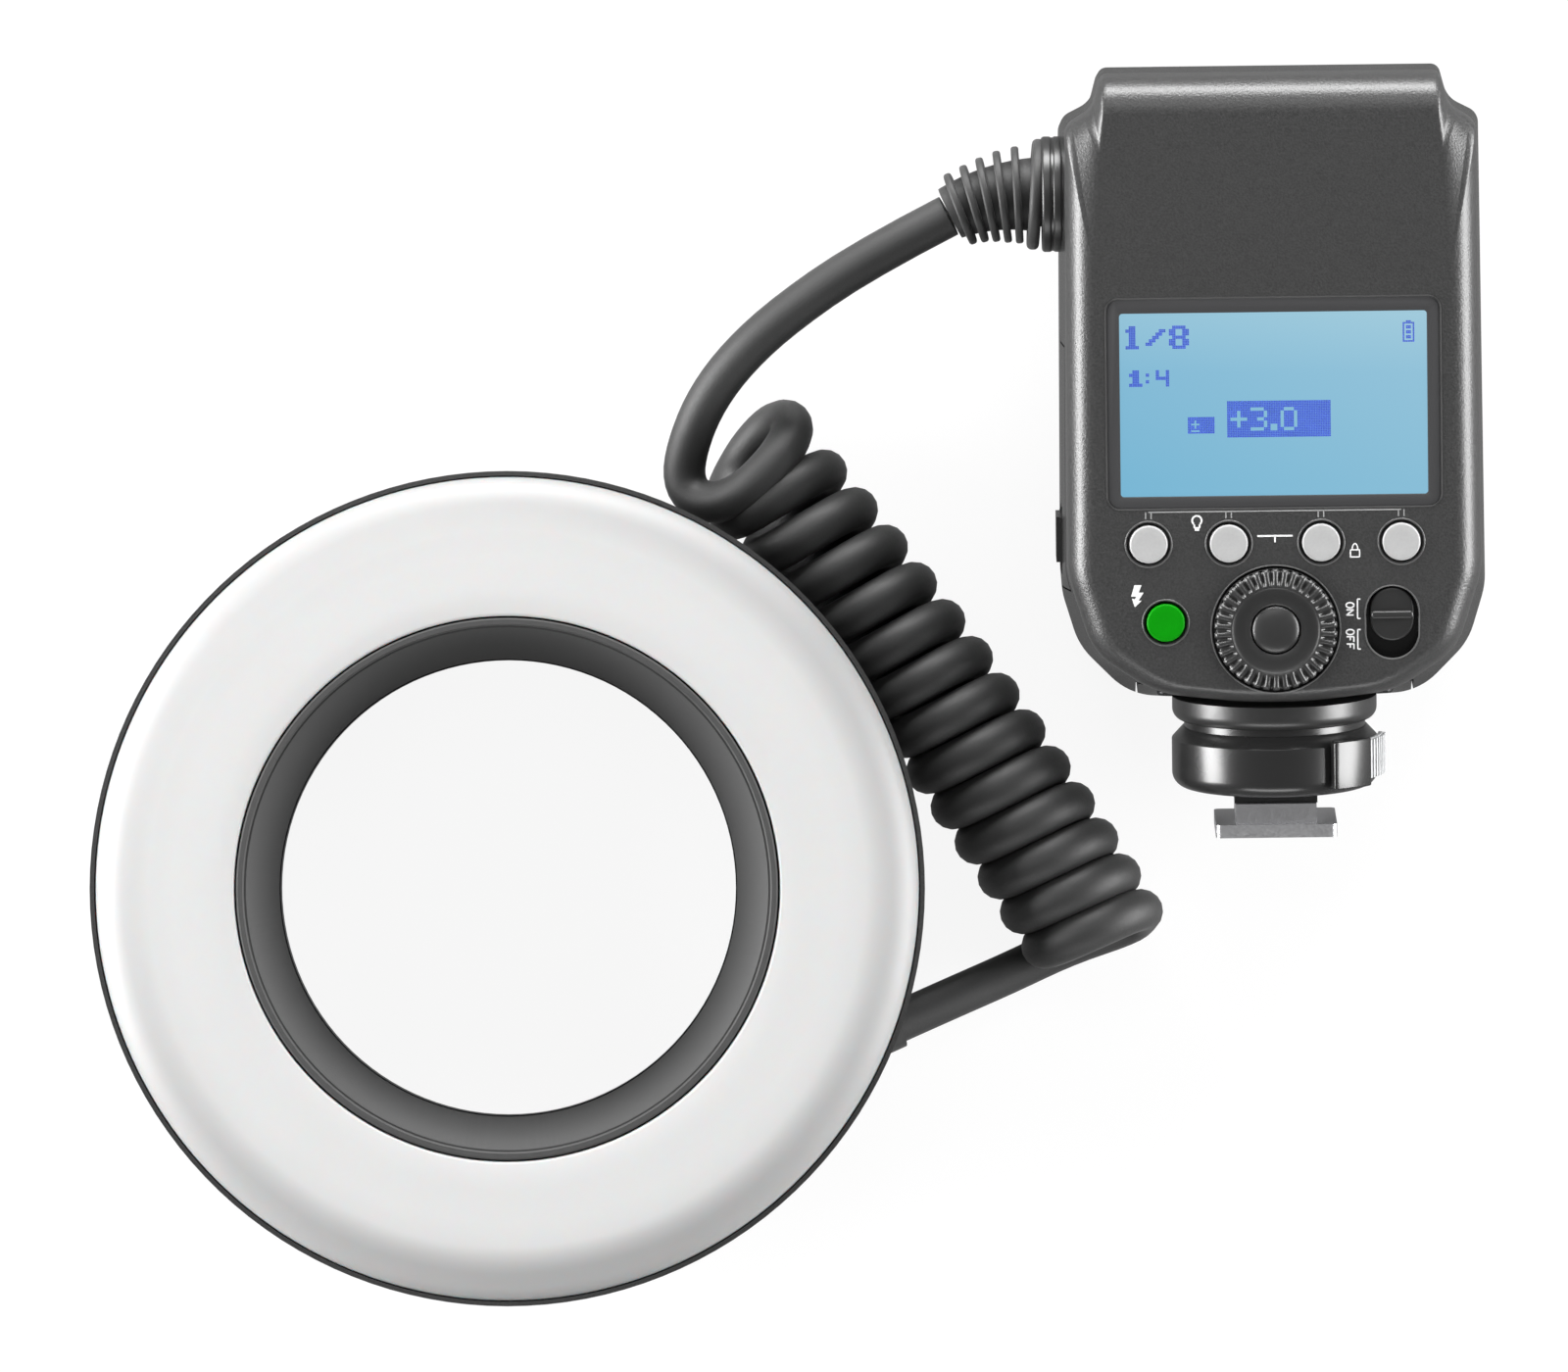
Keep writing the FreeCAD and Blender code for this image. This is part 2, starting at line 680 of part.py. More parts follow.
def rear_cover():
    """The cover with the panel: a hollow form with a window seat, key holes, a dial hole and posts."""
    solid = rear_form().cut(rear_hollow())
    posts = []
    for u, v in BOARD_POSTS:
        posts.append(upright(2.2, u, v, CONTROL_BOARD_TOP, PANEL_INNER + 1.2))
    for u, v in HOUSING_SCREWS:
        posts.append(upright(2.6, u, v, SPLIT_W, PANEL_INNER + (0.6 if v < BODY_TOP - 20 else -2.4)))
    solid = fused([solid] + posts)
    cuts = [
        prism(rounded_box(WINDOW_WIDTH, WINDOW_HEIGHT, WINDOW_CORNER, 0, WINDOW_V),
              PANEL_W - WINDOW_SUNK - WINDOW_T, PANEL_W + 1),
        prism(rounded_box(SCREEN_WIDTH, SCREEN_HEIGHT, 0.8, 0, WINDOW_V), PANEL_INNER - 1, PANEL_W),
        upright(DIAL_WELL_R, 0, DIAL_V, PANEL_INNER - 1, PANEL_W + 1),
        upright(DIAL_WELL_R + 0.8, 0, DIAL_V, FLANGE_INNER - DIAL_FLANGE_T - 0.4, PANEL_INNER),
        prism(slot_outline(SWITCH_WELL_WIDTH, SWITCH_WELL_LENGTH, SWITCH_U, SWITCH_V),
              PANEL_INNER - 1, PANEL_W + 1)]
    for u, v in [(u, KEY_V) for u in KEY_U] + [(TEST_U, TEST_V)]:
        cuts.append(upright(KEY_HOLE_R, u, v, PANEL_INNER - 1, PANEL_W + 1))
        cuts.append(Part.makeCone(KEY_HOLE_R, KEY_HOLE_R + KEY_BEVEL, KEY_BEVEL, V(u, v, PANEL_W - KEY_BEVEL)))
    for u, v in HOUSING_SCREWS:
        cuts.append(upright(1.3, u, v, SPLIT_W - 1, SPLIT_W + 5))
    for u, v in BOARD_POSTS:
        cuts.append(upright(0.9, u, v, CONTROL_BOARD_TOP - 1, CONTROL_BOARD_TOP + 3.5))
    return solid.cut(cuts)


def battery_box(gap=0.0, wall=0.0):
    """The battery's box, which reaches out through the left side; a gap and a wall make its bay."""
    grow = gap + wall
    u1 = -BODY_HALF + BATTERY_LENGTH + gap + wall
    return box(-BODY_HALF - 3, u1, BATTERY_V - BATTERY_HEIGHT / 2 - grow, BATTERY_V + BATTERY_HEIGHT / 2 + grow,
               BATTERY_W - BATTERY_DEPTH / 2 - grow, BATTERY_W + BATTERY_DEPTH / 2 + grow)


def base_zone(gap=0.0):
    """The part of the body that the base cover takes up between its two seams."""
    half = BASE_HALF + gap
    return box(-half, half, BODY_BASE - 3, BODY_BASE + 3.6 + gap, -BASE_HALF + 6 - gap, SPLIT_W - 0.8 + gap)


def front_hollow():
    """The hollow inside the front cover."""
    drop = HOOD_SLOPE
    wall = BODY_WALL
    return Part.makeLoft([
        at_height(rear_outline(wall), SPLIT_W + 1), at_height(front_outline(0, wall), 0.0),
        on_rest(front_outline(drop, wall), NOSE_ROLL + 1), on_rest(front_outline(drop, 3.4), wall)], True, True)


def front_cover():
    """The wedge-shaped cover that the controller lies on, with the battery's bay and screw columns."""
    outer = front_form()
    shell = outer.cut(front_hollow())
    bay = battery_box(BATTERY_GAP, BAY_WALL).common(outer)
    columns = []
    for u, v in HOUSING_SCREWS:
        columns.append(upright(3.6, u, v, rest_at(v) + 1.0, SPLIT_W).common(outer))
    for u, v in MAIN_POSTS:
        columns.append(upright(2.2, u, v, rest_at(v) + 1.0, MAIN_BOARD_W))
    boss = rod(SOCKET_R, V(-BODY_HALF - 2.1, RELIEF_V, RELIEF_W), V(CLAMP_U, RELIEF_V, RELIEF_W))
    solid = fused([shell, bay, boss] + columns)
    cuts = [
        battery_box(BATTERY_GAP), base_zone(SEAM),
        rod(5.0, V(-BODY_HALF - 4, RELIEF_V, RELIEF_W), V(-20, RELIEF_V, RELIEF_W)),
        port_pocket(SLIDE_GAP)]
    cuts.append(rod(FLANGE_R, V(0, 0, 0), V(0, FLANGE_TOP, 0)))
    for u, v in HOUSING_SCREWS:
        cuts.append(upright(1.3, u, v, rest_at(v), SPLIT_W + 1))
        cuts.append(upright(2.7, u, v, rest_at(v) - 3, screw_seat(v)))
    for v in PORT_CENTRES:
        cuts.append(box(26, BODY_HALF, v - 2.2, v + 2.2, PORT_LOW - 0.2, MAIN_BOARD_W + 0.2))
    return solid.cut(cuts)


def screw_seat(v):
    """Where a housing screw's head seats in its deep counterbore."""
    return rest_at(v) + 9.0


def base_cover():
    """The gloss piece that closes the underside of the body round the foot's flange."""
    outer = front_form()
    solid = base_zone().common(outer)
    solid = solid.cut(rod(FLANGE_R, V(0, 0, 0), V(0, FLANGE_TOP, 0)))
    cuts = []
    for side in (-1, 1):
        spot = side * BASE_SCREW_U
        cuts.append(rod(1.8, V(spot, 0, BASE_SCREW_W), V(spot, BODY_BASE + 1.6, BASE_SCREW_W)))
        cuts.append(rod(0.9, V(spot, 0, BASE_SCREW_W), V(spot, BODY_BASE + 6, BASE_SCREW_W)))
    return solid.cut(cuts)


def base_screws():
    """The two small screws in the base cover's recesses."""
    screws = []
    for side in (-1, 1):
        spot = side * BASE_SCREW_U
        seat = BODY_BASE + 1.6
        head = rod(1.6, V(spot, seat - 0.7, BASE_SCREW_W), V(spot, seat, BASE_SCREW_W))
        shank = rod(0.9, V(spot, seat, BASE_SCREW_W), V(spot, BODY_BASE + 3.5, BASE_SCREW_W))
        screws.append(head.fuse(shank).removeSplitter())
    return Part.makeCompound(screws)


def housing_screws():
    """Four long screws that clamp the two covers together."""
    screws = []
    for u, v in HOUSING_SCREWS:
        seat = screw_seat(v)
        head = upright(2.4, u, v, seat - 1.6, seat)
        shank = upright(1.3, u, v, seat, SPLIT_W + 4.5)
        screws.append(head.fuse(shank).removeSplitter())
    return Part.makeCompound(screws)


def display_window():
    """The clear glass plate over the screen, seated in the panel."""
    width = WINDOW_WIDTH - 0.3
    height = WINDOW_HEIGHT - 0.3
    top = PANEL_W - WINDOW_SUNK
    return prism(rounded_box(width, height, WINDOW_CORNER, 0, WINDOW_V), top - WINDOW_T, top)


def lcd_panel():
    """The screen module between the control board and the panel."""
    margin = 3.0
    body = box(-SCREEN_WIDTH / 2 - margin / 2, SCREEN_WIDTH / 2 + margin / 2,
               WINDOW_V - SCREEN_HEIGHT / 2 - margin / 2, WINDOW_V + SCREEN_HEIGHT / 2 + margin / 2,
               CONTROL_BOARD_TOP, PANEL_INNER)
    glass = prism(rounded_box(SCREEN_WIDTH - 0.2, SCREEN_HEIGHT - 0.2, 0.8, 0, WINDOW_V),
                  PANEL_INNER, PANEL_W - WINDOW_SUNK - WINDOW_T - 0.1)
    return fused([body, glass])


def press_key(u, v):
    """A round key: cap, retaining flange under the panel and a stem that meets its switch."""
    low = FLANGE_INNER - KEY_FLANGE_T
    cap = upright(KEY_R, u, v, FLANGE_INNER - 0.1, PANEL_W + KEY_PROUD)
    flange = upright(KEY_R + 0.8, u, v, low, FLANGE_INNER)
    stem = upright(1.2, u, v, SWITCH_TOP + KEY_TRAVEL + 0.1, low)
    return fused([cap, flange, stem])


def select_dial():
    """The knurled dial: a flange under the panel, a grooved rim and a shallow dish in the middle."""
    top = PANEL_W + DIAL_PROUD
    low = FLANGE_INNER - DIAL_FLANGE_T
    solid = turned(plain([
        (POST_R + RUNNING_GAP, low), (DIAL_WELL_R + 0.5, low), (DIAL_WELL_R + 0.5, FLANGE_INNER),
        (DIAL_R, FLANGE_INNER), (DIAL_R, top - 0.9), (DIAL_R - 0.9, top), (DIAL_DISC_R, top),
        (DIAL_DISC_R - 0.5, top - 0.5), (SET_R + 0.2, top - 0.5), (SET_R + 0.2, top - 1.4),
        (POST_R + RUNNING_GAP, top - 1.4)]))
    grooves = []
    width = 2 * pi * DIAL_R / DIAL_GROOVES * 0.38
    for i in range(DIAL_GROOVES):
        cutter = Part.makeBox(DIAL_R, width, 3.0, V(DIAL_DISC_R + 0.3, -width / 2, top - 0.45))
        cutter.rotate(V(DIAL_DISC_R, 0, top), V(0, 1, 0), 12.0)
        cutter.rotate(V(0, 0, 0), V(0, 0, 1), i * 360.0 / DIAL_GROOVES)
        grooves.append(cutter)
    solid = solid.cut(grooves)
    solid.translate(V(0, DIAL_V, 0))
    return solid


def dial_encoder():
    """The rotary switch on the control board, with the hollow post that the dial turns on."""
    base = box(-6.5, 6.5, DIAL_V - 6.5, DIAL_V + 6.5, CONTROL_BOARD_TOP, CONTROL_BOARD_TOP + 2.6)
    post = upright(POST_R, 0, DIAL_V, CONTROL_BOARD_TOP, PANEL_W + DIAL_PROUD - 1.4 - 0.1)
    bore = upright(SET_R + 0.2, 0, DIAL_V, SWITCH_TOP - 1.4, PANEL_W + 5)
    return fused([base, post]).cut(bore)


def set_button():
    """The domed button in the middle of the dial."""
    top = PANEL_W + DIAL_PROUD + 0.1
    low = SWITCH_TOP + SET_TRAVEL + 0.1
    dome = 0.9
    solid = turned(plain([
        (0, low), (SET_R, low), (SET_R, top - dome), (SET_R * 0.85, top - dome * 0.45), (SET_R * 0.5, top - 0.1),
        (0, top)]))
    solid.translate(V(0, DIAL_V, 0))
    return solid


def switch_bed():
    """The tray under the panel that the power knob slides in."""
    low = PANEL_INNER - 3.0
    floor = PANEL_INNER - 2.0
    width = SWITCH_WELL_WIDTH
    length = SWITCH_WELL_LENGTH
    outer = prism(slot_outline(width + 1.6, length + 1.6, SWITCH_U, SWITCH_V), low, PANEL_INNER)
    pocket = prism(slot_outline(width, length, SWITCH_U, SWITCH_V), floor, PANEL_INNER + 1)
    slot = box(SWITCH_U - 1.1, SWITCH_U + 1.1, KNOB_V - SWITCH_TRAVEL - 1.4, KNOB_V + 1.4, low - 1, floor + 1)
    return outer.common(rear_hollow()).cut([pocket, slot])


def power_switch():
    """The sliding knob with a ridge across its middle and a stem down to the slide switch."""
    top = PANEL_W - 0.1
    floor = PANEL_INNER - 2.0
    knob = prism(slot_outline(SWITCH_WIDTH, SWITCH_LENGTH, SWITCH_U, KNOB_V), floor + RUNNING_GAP, top)
    ridge = box(SWITCH_U - SWITCH_WIDTH / 2 + 0.1, SWITCH_U + SWITCH_WIDTH / 2 - 0.1,
                KNOB_V - 0.5, KNOB_V + 0.5, top - 1, top + 0.9)
    lower = box(SWITCH_U - SWITCH_WIDTH / 2, SWITCH_U + SWITCH_WIDTH / 2,
                KNOB_V - SWITCH_LENGTH / 2, KNOB_V - 0.5, top - 0.5, top + 1)
    stem = box(SWITCH_U - 0.9, SWITCH_U + 0.9, KNOB_V - 1.0, KNOB_V + 1.0, CONTROL_BOARD_TOP + 2.2, floor + 0.5)
    return fused([knob.cut(lower), ridge, stem])


def control_board():
    """The board behind the panel that carries the screen and the switches."""
    room = prism(rear_outline(BODY_WALL + 0.4), CONTROL_BOARD_W, CONTROL_BOARD_TOP)
    solid = box(-BODY_HALF, BODY_HALF, 26.0, 88.0, CONTROL_BOARD_W, CONTROL_BOARD_TOP).common(room)
    cuts = []
    for u, v in HOUSING_SCREWS[:2]:
        cuts.append(upright(3.0, u, v, CONTROL_BOARD_W - 1, CONTROL_BOARD_TOP + 1))
    for u, v in BOARD_POSTS:
        cuts.append(upright(1.1, u, v, CONTROL_BOARD_W - 1, CONTROL_BOARD_TOP + 1))
    return solid.cut(cuts)


def panel_switches():
    """The tact switches under the keys and the slide switch under the power knob."""
    pieces = []
    low = CONTROL_BOARD_TOP
    for u, v in [(u, KEY_V) for u in KEY_U] + [(TEST_U, TEST_V)]:
        body = box(u - 2.2, u + 2.2, v - 2.2, v + 2.2, low, SWITCH_TOP - 0.8)
        pieces.append(body.fuse(upright(1.0, u, v, SWITCH_TOP - 1, SWITCH_TOP)).removeSplitter())
    pieces.append(box(SWITCH_U - 2.0, SWITCH_U + 2.0, SWITCH_V - 4.0, SWITCH_V + 4.0, low, low + 2.0))
    return Part.makeCompound(pieces)


def main_board():
    """The flash board above the battery's bay, on four posts of the front cover."""
    return box(-25.0, 30.0, 79.2, 107.0, MAIN_BOARD_W, MAIN_BOARD_TOP).cut(
        box(-26, -20, RELIEF_V - 9, RELIEF_V + 9.5, MAIN_BOARD_W - 1, MAIN_BOARD_TOP + 1))


def flash_capacitor():
    """The storage capacitor, which lies under the main board against the front wall."""
    w = rest_at(CAPACITOR_V) + BODY_WALL + CAPACITOR_R + 0.6
    return rod(CAPACITOR_R, V(-18.5, CAPACITOR_V, w), V(-18.5 + CAPACITOR_LENGTH, CAPACITOR_V, w))


def transformer():
    """The step-up transformer on the main board: a core with its winding."""
    low = MAIN_BOARD_TOP
    core = box(2, 20, 90, 105, low, low + 8)
    winding = box(4, 18, 88, 107, low, low + 6.5)
    return fused([core, winding])


def battery_pack():
    """The battery, which slides out of the left side; its end is the body's side face."""
    solid = battery_box().common(front_form())
    pocket = box(-BODY_HALF - 2, -BODY_HALF + 1.4, LATCH_V - 5.2, LATCH_V + 5.2, BATTERY_W - 5.4, BATTERY_W + 5.4)
    return solid.cut(pocket)


def battery_latch():
    """The thumb latch in the battery's end."""
    plate = box(-BODY_HALF - 0.1, -BODY_HALF + 1.35, LATCH_V - 3.5, LATCH_V + 3.5, BATTERY_W - 5.2, BATTERY_W + 5.2)
    thumb = box(-BODY_HALF - 0.7, -BODY_HALF, LATCH_V - 3.5, LATCH_V + 3.5, BATTERY_W - 4.0, BATTERY_W + 4.0)
    return fused([plate, thumb])


def battery_contacts():
    """Three sprung blades on the bay's end wall."""
    wall_u = -BODY_HALF + BATTERY_LENGTH + BATTERY_GAP
    blades = []
    for v in (BATTERY_V - 6, BATTERY_V, BATTERY_V + 6):
        blades.append(box(wall_u - 0.2, wall_u, v - 1.5, v + 1.5, BATTERY_W - 5, BATTERY_W + 5))
    return Part.makeCompound(blades)


def port_pocket(gap=0.0):
    """The shallow pocket in the right side that the rubber cover closes."""
    return box(BODY_HALF - PORT_T - gap, BODY_HALF + 3, PORT_V - PORT_LENGTH / 2 - gap,
               PORT_V + PORT_LENGTH / 2 + gap, PORT_W - PORT_HEIGHT / 2 - gap, PORT_W + PORT_HEIGHT / 2 + gap)


def port_cover():
    """The rubber cover over the sync and data sockets, flush with the side."""
    return box(BODY_HALF - PORT_T, BODY_HALF - 0.02, PORT_V - PORT_LENGTH / 2, PORT_V + PORT_LENGTH / 2,
               PORT_W - PORT_HEIGHT / 2, PORT_W + PORT_HEIGHT / 2).common(front_form())


def port_sockets():
    """The sync jack and the data socket on the main board's edge."""
    sockets = []
    for v in PORT_CENTRES:
        sockets.append(box(24.0, 30.6, v - 2.0, v + 2.0, PORT_LOW, MAIN_BOARD_W))
    return Part.makeCompound(sockets)


def body_flange():
    """The round flange that joins the foot to the body."""
    return around_foot(turned(plain([
        (0, FLANGE_V), (NECK_R - 0.4, FLANGE_V), (FLANGE_R - 0.5, FLANGE_V + 1.2), (FLANGE_R - 0.02, FLANGE_V + 2.2),
        (FLANGE_R - 0.02, FLANGE_TOP), (0, FLANGE_TOP)])))


def foot_neck():
    """The neck under the flange and the core that the lever turns on."""
    solid = around_foot(turned(plain([
        (0, COLLAR_V), (FOOT_CORE_R, COLLAR_V), (FOOT_CORE_R, NECK_V), (NECK_R, NECK_V), (NECK_R, FLANGE_V - 0.8),
        (NECK_R - 0.8, FLANGE_V), (0, FLANGE_V)])))
    return solid.cut(pin_hole())


def pin_hole():
    """The bore of the lock pin through the foot."""
    return rod(LOCK_PIN_R + RUNNING_GAP, V(0, -1, LOCK_PIN_W), V(0, COLLAR_V + 3, LOCK_PIN_W))


def foot_collar():
    """The fixed collar, with a bevel above, a rounded foot and a slot for the lever's arm."""
    low = COLLAR_V
    top = NECK_V
    solid = around_foot(turned(plain([
        (FOOT_CORE_R, low), (COLLAR_R - 2.4, low), (COLLAR_R - 0.7, low + 0.8), (COLLAR_R, low + 2.2),
        (COLLAR_R, top - 1.5), (COLLAR_R - 1.5, top), (FOOT_CORE_R, top)])))
    groove = foot_sector(FOOT_CORE_R - 1, LEVER_RING_R + 0.2, 0, 360, LEVER_LOW - 0.1, LEVER_HIGH + 0.1)
    slot = foot_sector(LEVER_RING_R, COLLAR_R + 2, ARM_START - 1, ARM_END + LEVER_SWING + 1,
                       LEVER_LOW - 0.1, LEVER_HIGH + 0.1)
    return solid.cut([groove, slot])


def lock_lever():
    """The lever: a ring on the foot's core, an arm through the slot and a block to push."""
    ring_part = foot_sector(FOOT_CORE_R + RUNNING_GAP, LEVER_RING_R, 0, 360, LEVER_LOW, LEVER_HIGH)
    arm = foot_sector(LEVER_RING_R - 1, COLLAR_R + 0.6, ARM_START, ARM_END, LEVER_LOW, LEVER_HIGH)
    block = foot_sector(COLLAR_R + 0.1, LEVER_R, LEVER_START, LEVER_END, COLLAR_V + 0.7, NECK_V - 0.9)
    return fused([ring_part, arm, block])


def lever_pad():
    """The grey grip on the lever, with upright ribs."""
    solid = foot_sector(COLLAR_R + 0.1, PAD_R, LEVER_END, PAD_END, COLLAR_V + 1.4, NECK_V - 1.2)
    ribs = []
    count = 7
    step = (PAD_END - LEVER_END) / count
    for i in range(count):
        start = LEVER_END + (i + 0.25) * step
        ribs.append(foot_sector(PAD_R - 0.2, PAD_R + 0.35, start, start + step / 2, COLLAR_V + 1.4, NECK_V - 1.2))
    return fused([solid] + ribs)


def foot_block():
    """The black block between the metal foot and the collar."""
    half = FOOT_NECK_WIDTH / 2 + 0.15
    solid = box(-half, half, FOOT_BLOCK_V, COLLAR_V, -half, half)
    return solid.cut(pin_hole())


def foot_plate():
    """The metal shoe foot: the standard plate and its neck."""
    half = FOOT_WIDTH / 2
    length = FOOT_LENGTH / 2
    plate = prism(rounded_box(FOOT_WIDTH, FOOT_LENGTH, 0.9), 0, FOOT_PLATE_T)
    plate.rotate(V(0, 0, 0), V(1, 0, 0), -90)
    neck = box(-FOOT_NECK_WIDTH / 2, FOOT_NECK_WIDTH / 2, 0.5, FOOT_BLOCK_V, -length + 1.6, length - 1.6)
    return fused([plate, neck]).cut([pin_hole(), insert_box(0.0)])


def insert_box(gap):
    """The pocket of the plastic insert in the foot's underside."""
    return box(-5.0 + gap, 5.0 - gap, -0.5 + 0.5 * (gap > 0), 1.4, -3.4 + gap, 7.0 - gap)


def foot_insert():
    """The plastic insert that holds the contacts."""
    return insert_box(0.02).cut(contact_rods(0.0, 1.2))


def contact_rods(low, high):
    """The pins of the foot: one in the middle and four smaller ones beside it."""
    rods = [rod(1.3, V(0, low, 0), V(0, high, 0))]
    for u, w in ((-3.2, 2.2), (-3.2, 5.0), (3.2, 2.2), (3.2, 5.0)):
        rods.append(rod(0.7, V(u, low, w), V(u, high, w)))
    return Part.makeCompound(rods)


def foot_contacts():
    """The contact pins, a little proud of the foot."""
    return contact_rods(-0.2, 1.2)


def lock_pin():
    """The pin that the lever drives out of the foot; it rests just inside."""
    return rod(LOCK_PIN_R, V(0, 0.2, LOCK_PIN_W), V(0, COLLAR_V + 1.4, LOCK_PIN_W))


def controller(shape):
    """Lays a shape of the controller down at its place on the table."""
    placed = shape.copy()
    placed.rotate(V(0, 0, 0), V(1, 0, 0), LEAN)
    placed.rotate(V(0, 0, 0), V(0, 0, 1), TURN)
    placed.translate(V(FOOT_X, FOOT_Y, FOOT_Z))
    return placed


# Cord fittings, in the controller's frame

def relief_axis(distance):
    """A point and a heading on the strain relief's curved axis, some way out from its flange."""
    turn = distance / RELIEF_BEND_R
    start = V(RELIEF_FLANGE_U, RELIEF_V, RELIEF_W)
    point = start + V(-RELIEF_BEND_R * sin(turn), -RELIEF_BEND_R * (1 - cos(turn)), 0)
    return point, V(-cos(turn), -sin(turn), 0)


def relief_section(distance, radius):
    """A circle across the strain relief's axis."""
    point, heading = relief_axis(distance)
    return Part.Wire(Part.makeCircle(radius, point, heading))


def strain_relief():
    """The ribbed sleeve: tail, flange, a tapered core that bends with the cord, and five ribs."""
    flange = rod(RELIEF_FLANGE_R, V(RELIEF_FLANGE_U + 1.8, RELIEF_V, RELIEF_W),
                 V(RELIEF_FLANGE_U, RELIEF_V, RELIEF_W))
    tail = rod(4.95, V(-BODY_HALF + 4.6, RELIEF_V, RELIEF_W), V(RELIEF_FLANGE_U + 0.5, RELIEF_V, RELIEF_W))
    sections = [relief_section(d, 5.7 - 0.12 * d) for d in (0.0, RELIEF_LENGTH / 2, RELIEF_LENGTH)]
    core = Part.makeLoft(sections, True, True)
    ribs = []
    for i in range(RELIEF_RIBS):
        place = 1.6 + i * 2.25
        radius = 7.5 - 0.42 * i
        point, heading = relief_axis(place)
        ribs.append(rod(radius, point, point + heading * 1.15))
    return fused([flange, tail, core] + ribs)


def cable_clamp():
    """The nut that holds the strain relief's tail inside the front cover."""
    near = CLAMP_U
    return rod(7.2, V(near, RELIEF_V, RELIEF_W), V(near + 2.4, RELIEF_V, RELIEF_W)).cut(
        rod(4.95, V(near - 1, RELIEF_V, RELIEF_W), V(near + 4, RELIEF_V, RELIEF_W)))


def cord_lead():
    """The plain stretch of the cord from the strain relief to the coil."""
    return tube(LEAD_POINTS, CORD_D / 2)


def cord_coil():
    """The coil's outer shape."""
    return tube(COIL_POINTS, COIL_D / 2)


def cord_tail():
    """The straight stretch from under the last turn to the ring head's gland."""
    inwards = gland_line()
    return rod(CORD_D / 2, TAIL_START, GLAND_ENTRY - inwards * GLAND_OUT)


def all_parts():
    """Every node's name and shape."""
    in_row = {
        "adapter_ring": adapter_ring(),
        "ring_rear_shell": ring_rear_shell(),
        "latch_pins": latch_pins(),
        "ring_screws": Part.makeCompound([ring_screw(angle) for angle in RING_SCREW_ANGLES]),
        "ring_gland": ring_gland(),
        "ring_board": ring_board(),
        "ring_reflector": ring_reflector(),
        "flash_tube_a": flash_tube(90.0),
        "flash_tube_b": flash_tube(270.0),
        "tube_end_caps": tube_end_caps(),
        "model_leds": model_leds(),
        "ring_baffle": ring_baffle(),
        "ring_diffuser": ring_diffuser(),
        "cord_lead": cord_lead(),
        "cord_coil": cord_coil(),
        "cord_tail": cord_tail(),
    }
    for name, angle in LATCH_ANGLES.items():
        in_row[name] = adapter_latch(angle)
    on_controller = {
        "rear_cover": rear_cover(),
        "front_cover": front_cover(),
        "base_cover": base_cover(),
        "housing_screws": housing_screws(),
        "base_screws": base_screws(),
        "display_window": display_window(),
        "lcd_panel": lcd_panel(),
        "test_button": press_key(TEST_U, TEST_V),
        "select_dial": select_dial(),
        "dial_encoder": dial_encoder(),
        "set_button": set_button(),
        "switch_bed": switch_bed(),
        "power_switch": power_switch(),
        "control_board": control_board(),
        "panel_switches": panel_switches(),
        "main_board": main_board(),
        "flash_capacitor": flash_capacitor(),
        "transformer": transformer(),
        "battery_pack": battery_pack(),
        "battery_latch": battery_latch(),
        "battery_contacts": battery_contacts(),
        "port_cover": port_cover(),
        "port_sockets": port_sockets(),
        "body_flange": body_flange(),
        "foot_neck": foot_neck(),
        "foot_collar": foot_collar(),
        "lock_lever": lock_lever(),
        "lever_pad": lever_pad(),
        "foot_block": foot_block(),
        "foot_plate": foot_plate(),
        "foot_insert": foot_insert(),
        "foot_contacts": foot_contacts(),
        "lock_pin": lock_pin(),
        "strain_relief": strain_relief(),
        "cable_clamp": cable_clamp(),
    }
    for number, u in enumerate(KEY_U, 1):
        on_controller[f"key_{number}"] = press_key(u, KEY_V)
    for name, shape in on_controller.items():
        in_row[name] = controller(shape)
    return in_row


if __name__ == "__main__":
    os.makedirs("parts", exist_ok=True)
    for name, shape in all_parts().items():
        shape.exportStep(f"parts/{name}.step")
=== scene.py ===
"""The dressed macro ring flash: a ring head, its curly cord and the controller, laid flat on a table."""
from math import cos, pi, radians, sin, tan

import bmesh
import bpy
from mathutils import Matrix, Vector


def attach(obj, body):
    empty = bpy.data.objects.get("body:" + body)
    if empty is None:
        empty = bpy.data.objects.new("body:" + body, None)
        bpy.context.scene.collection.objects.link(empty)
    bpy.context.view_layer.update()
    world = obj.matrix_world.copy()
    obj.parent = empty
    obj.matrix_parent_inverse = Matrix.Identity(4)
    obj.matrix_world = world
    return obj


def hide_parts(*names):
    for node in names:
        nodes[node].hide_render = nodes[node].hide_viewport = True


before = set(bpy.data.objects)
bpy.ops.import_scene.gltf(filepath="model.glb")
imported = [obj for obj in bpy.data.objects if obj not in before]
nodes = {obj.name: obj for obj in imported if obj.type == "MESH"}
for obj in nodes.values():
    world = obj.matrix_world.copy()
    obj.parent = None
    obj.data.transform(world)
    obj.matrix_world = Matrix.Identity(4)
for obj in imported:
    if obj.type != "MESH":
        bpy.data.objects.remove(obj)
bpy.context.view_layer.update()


# The view. The photograph looks straight down on the table through a long lens, and the object's
# front faces lie about 31 mm above the table, where the frame is 240 mm wide.
VIEW_CENTRE = (0.0424, 0.03105)
VIEW_WIDTH = 0.240
VIEW_PLANE = 0.031
LENS_DISTANCE = 4.0

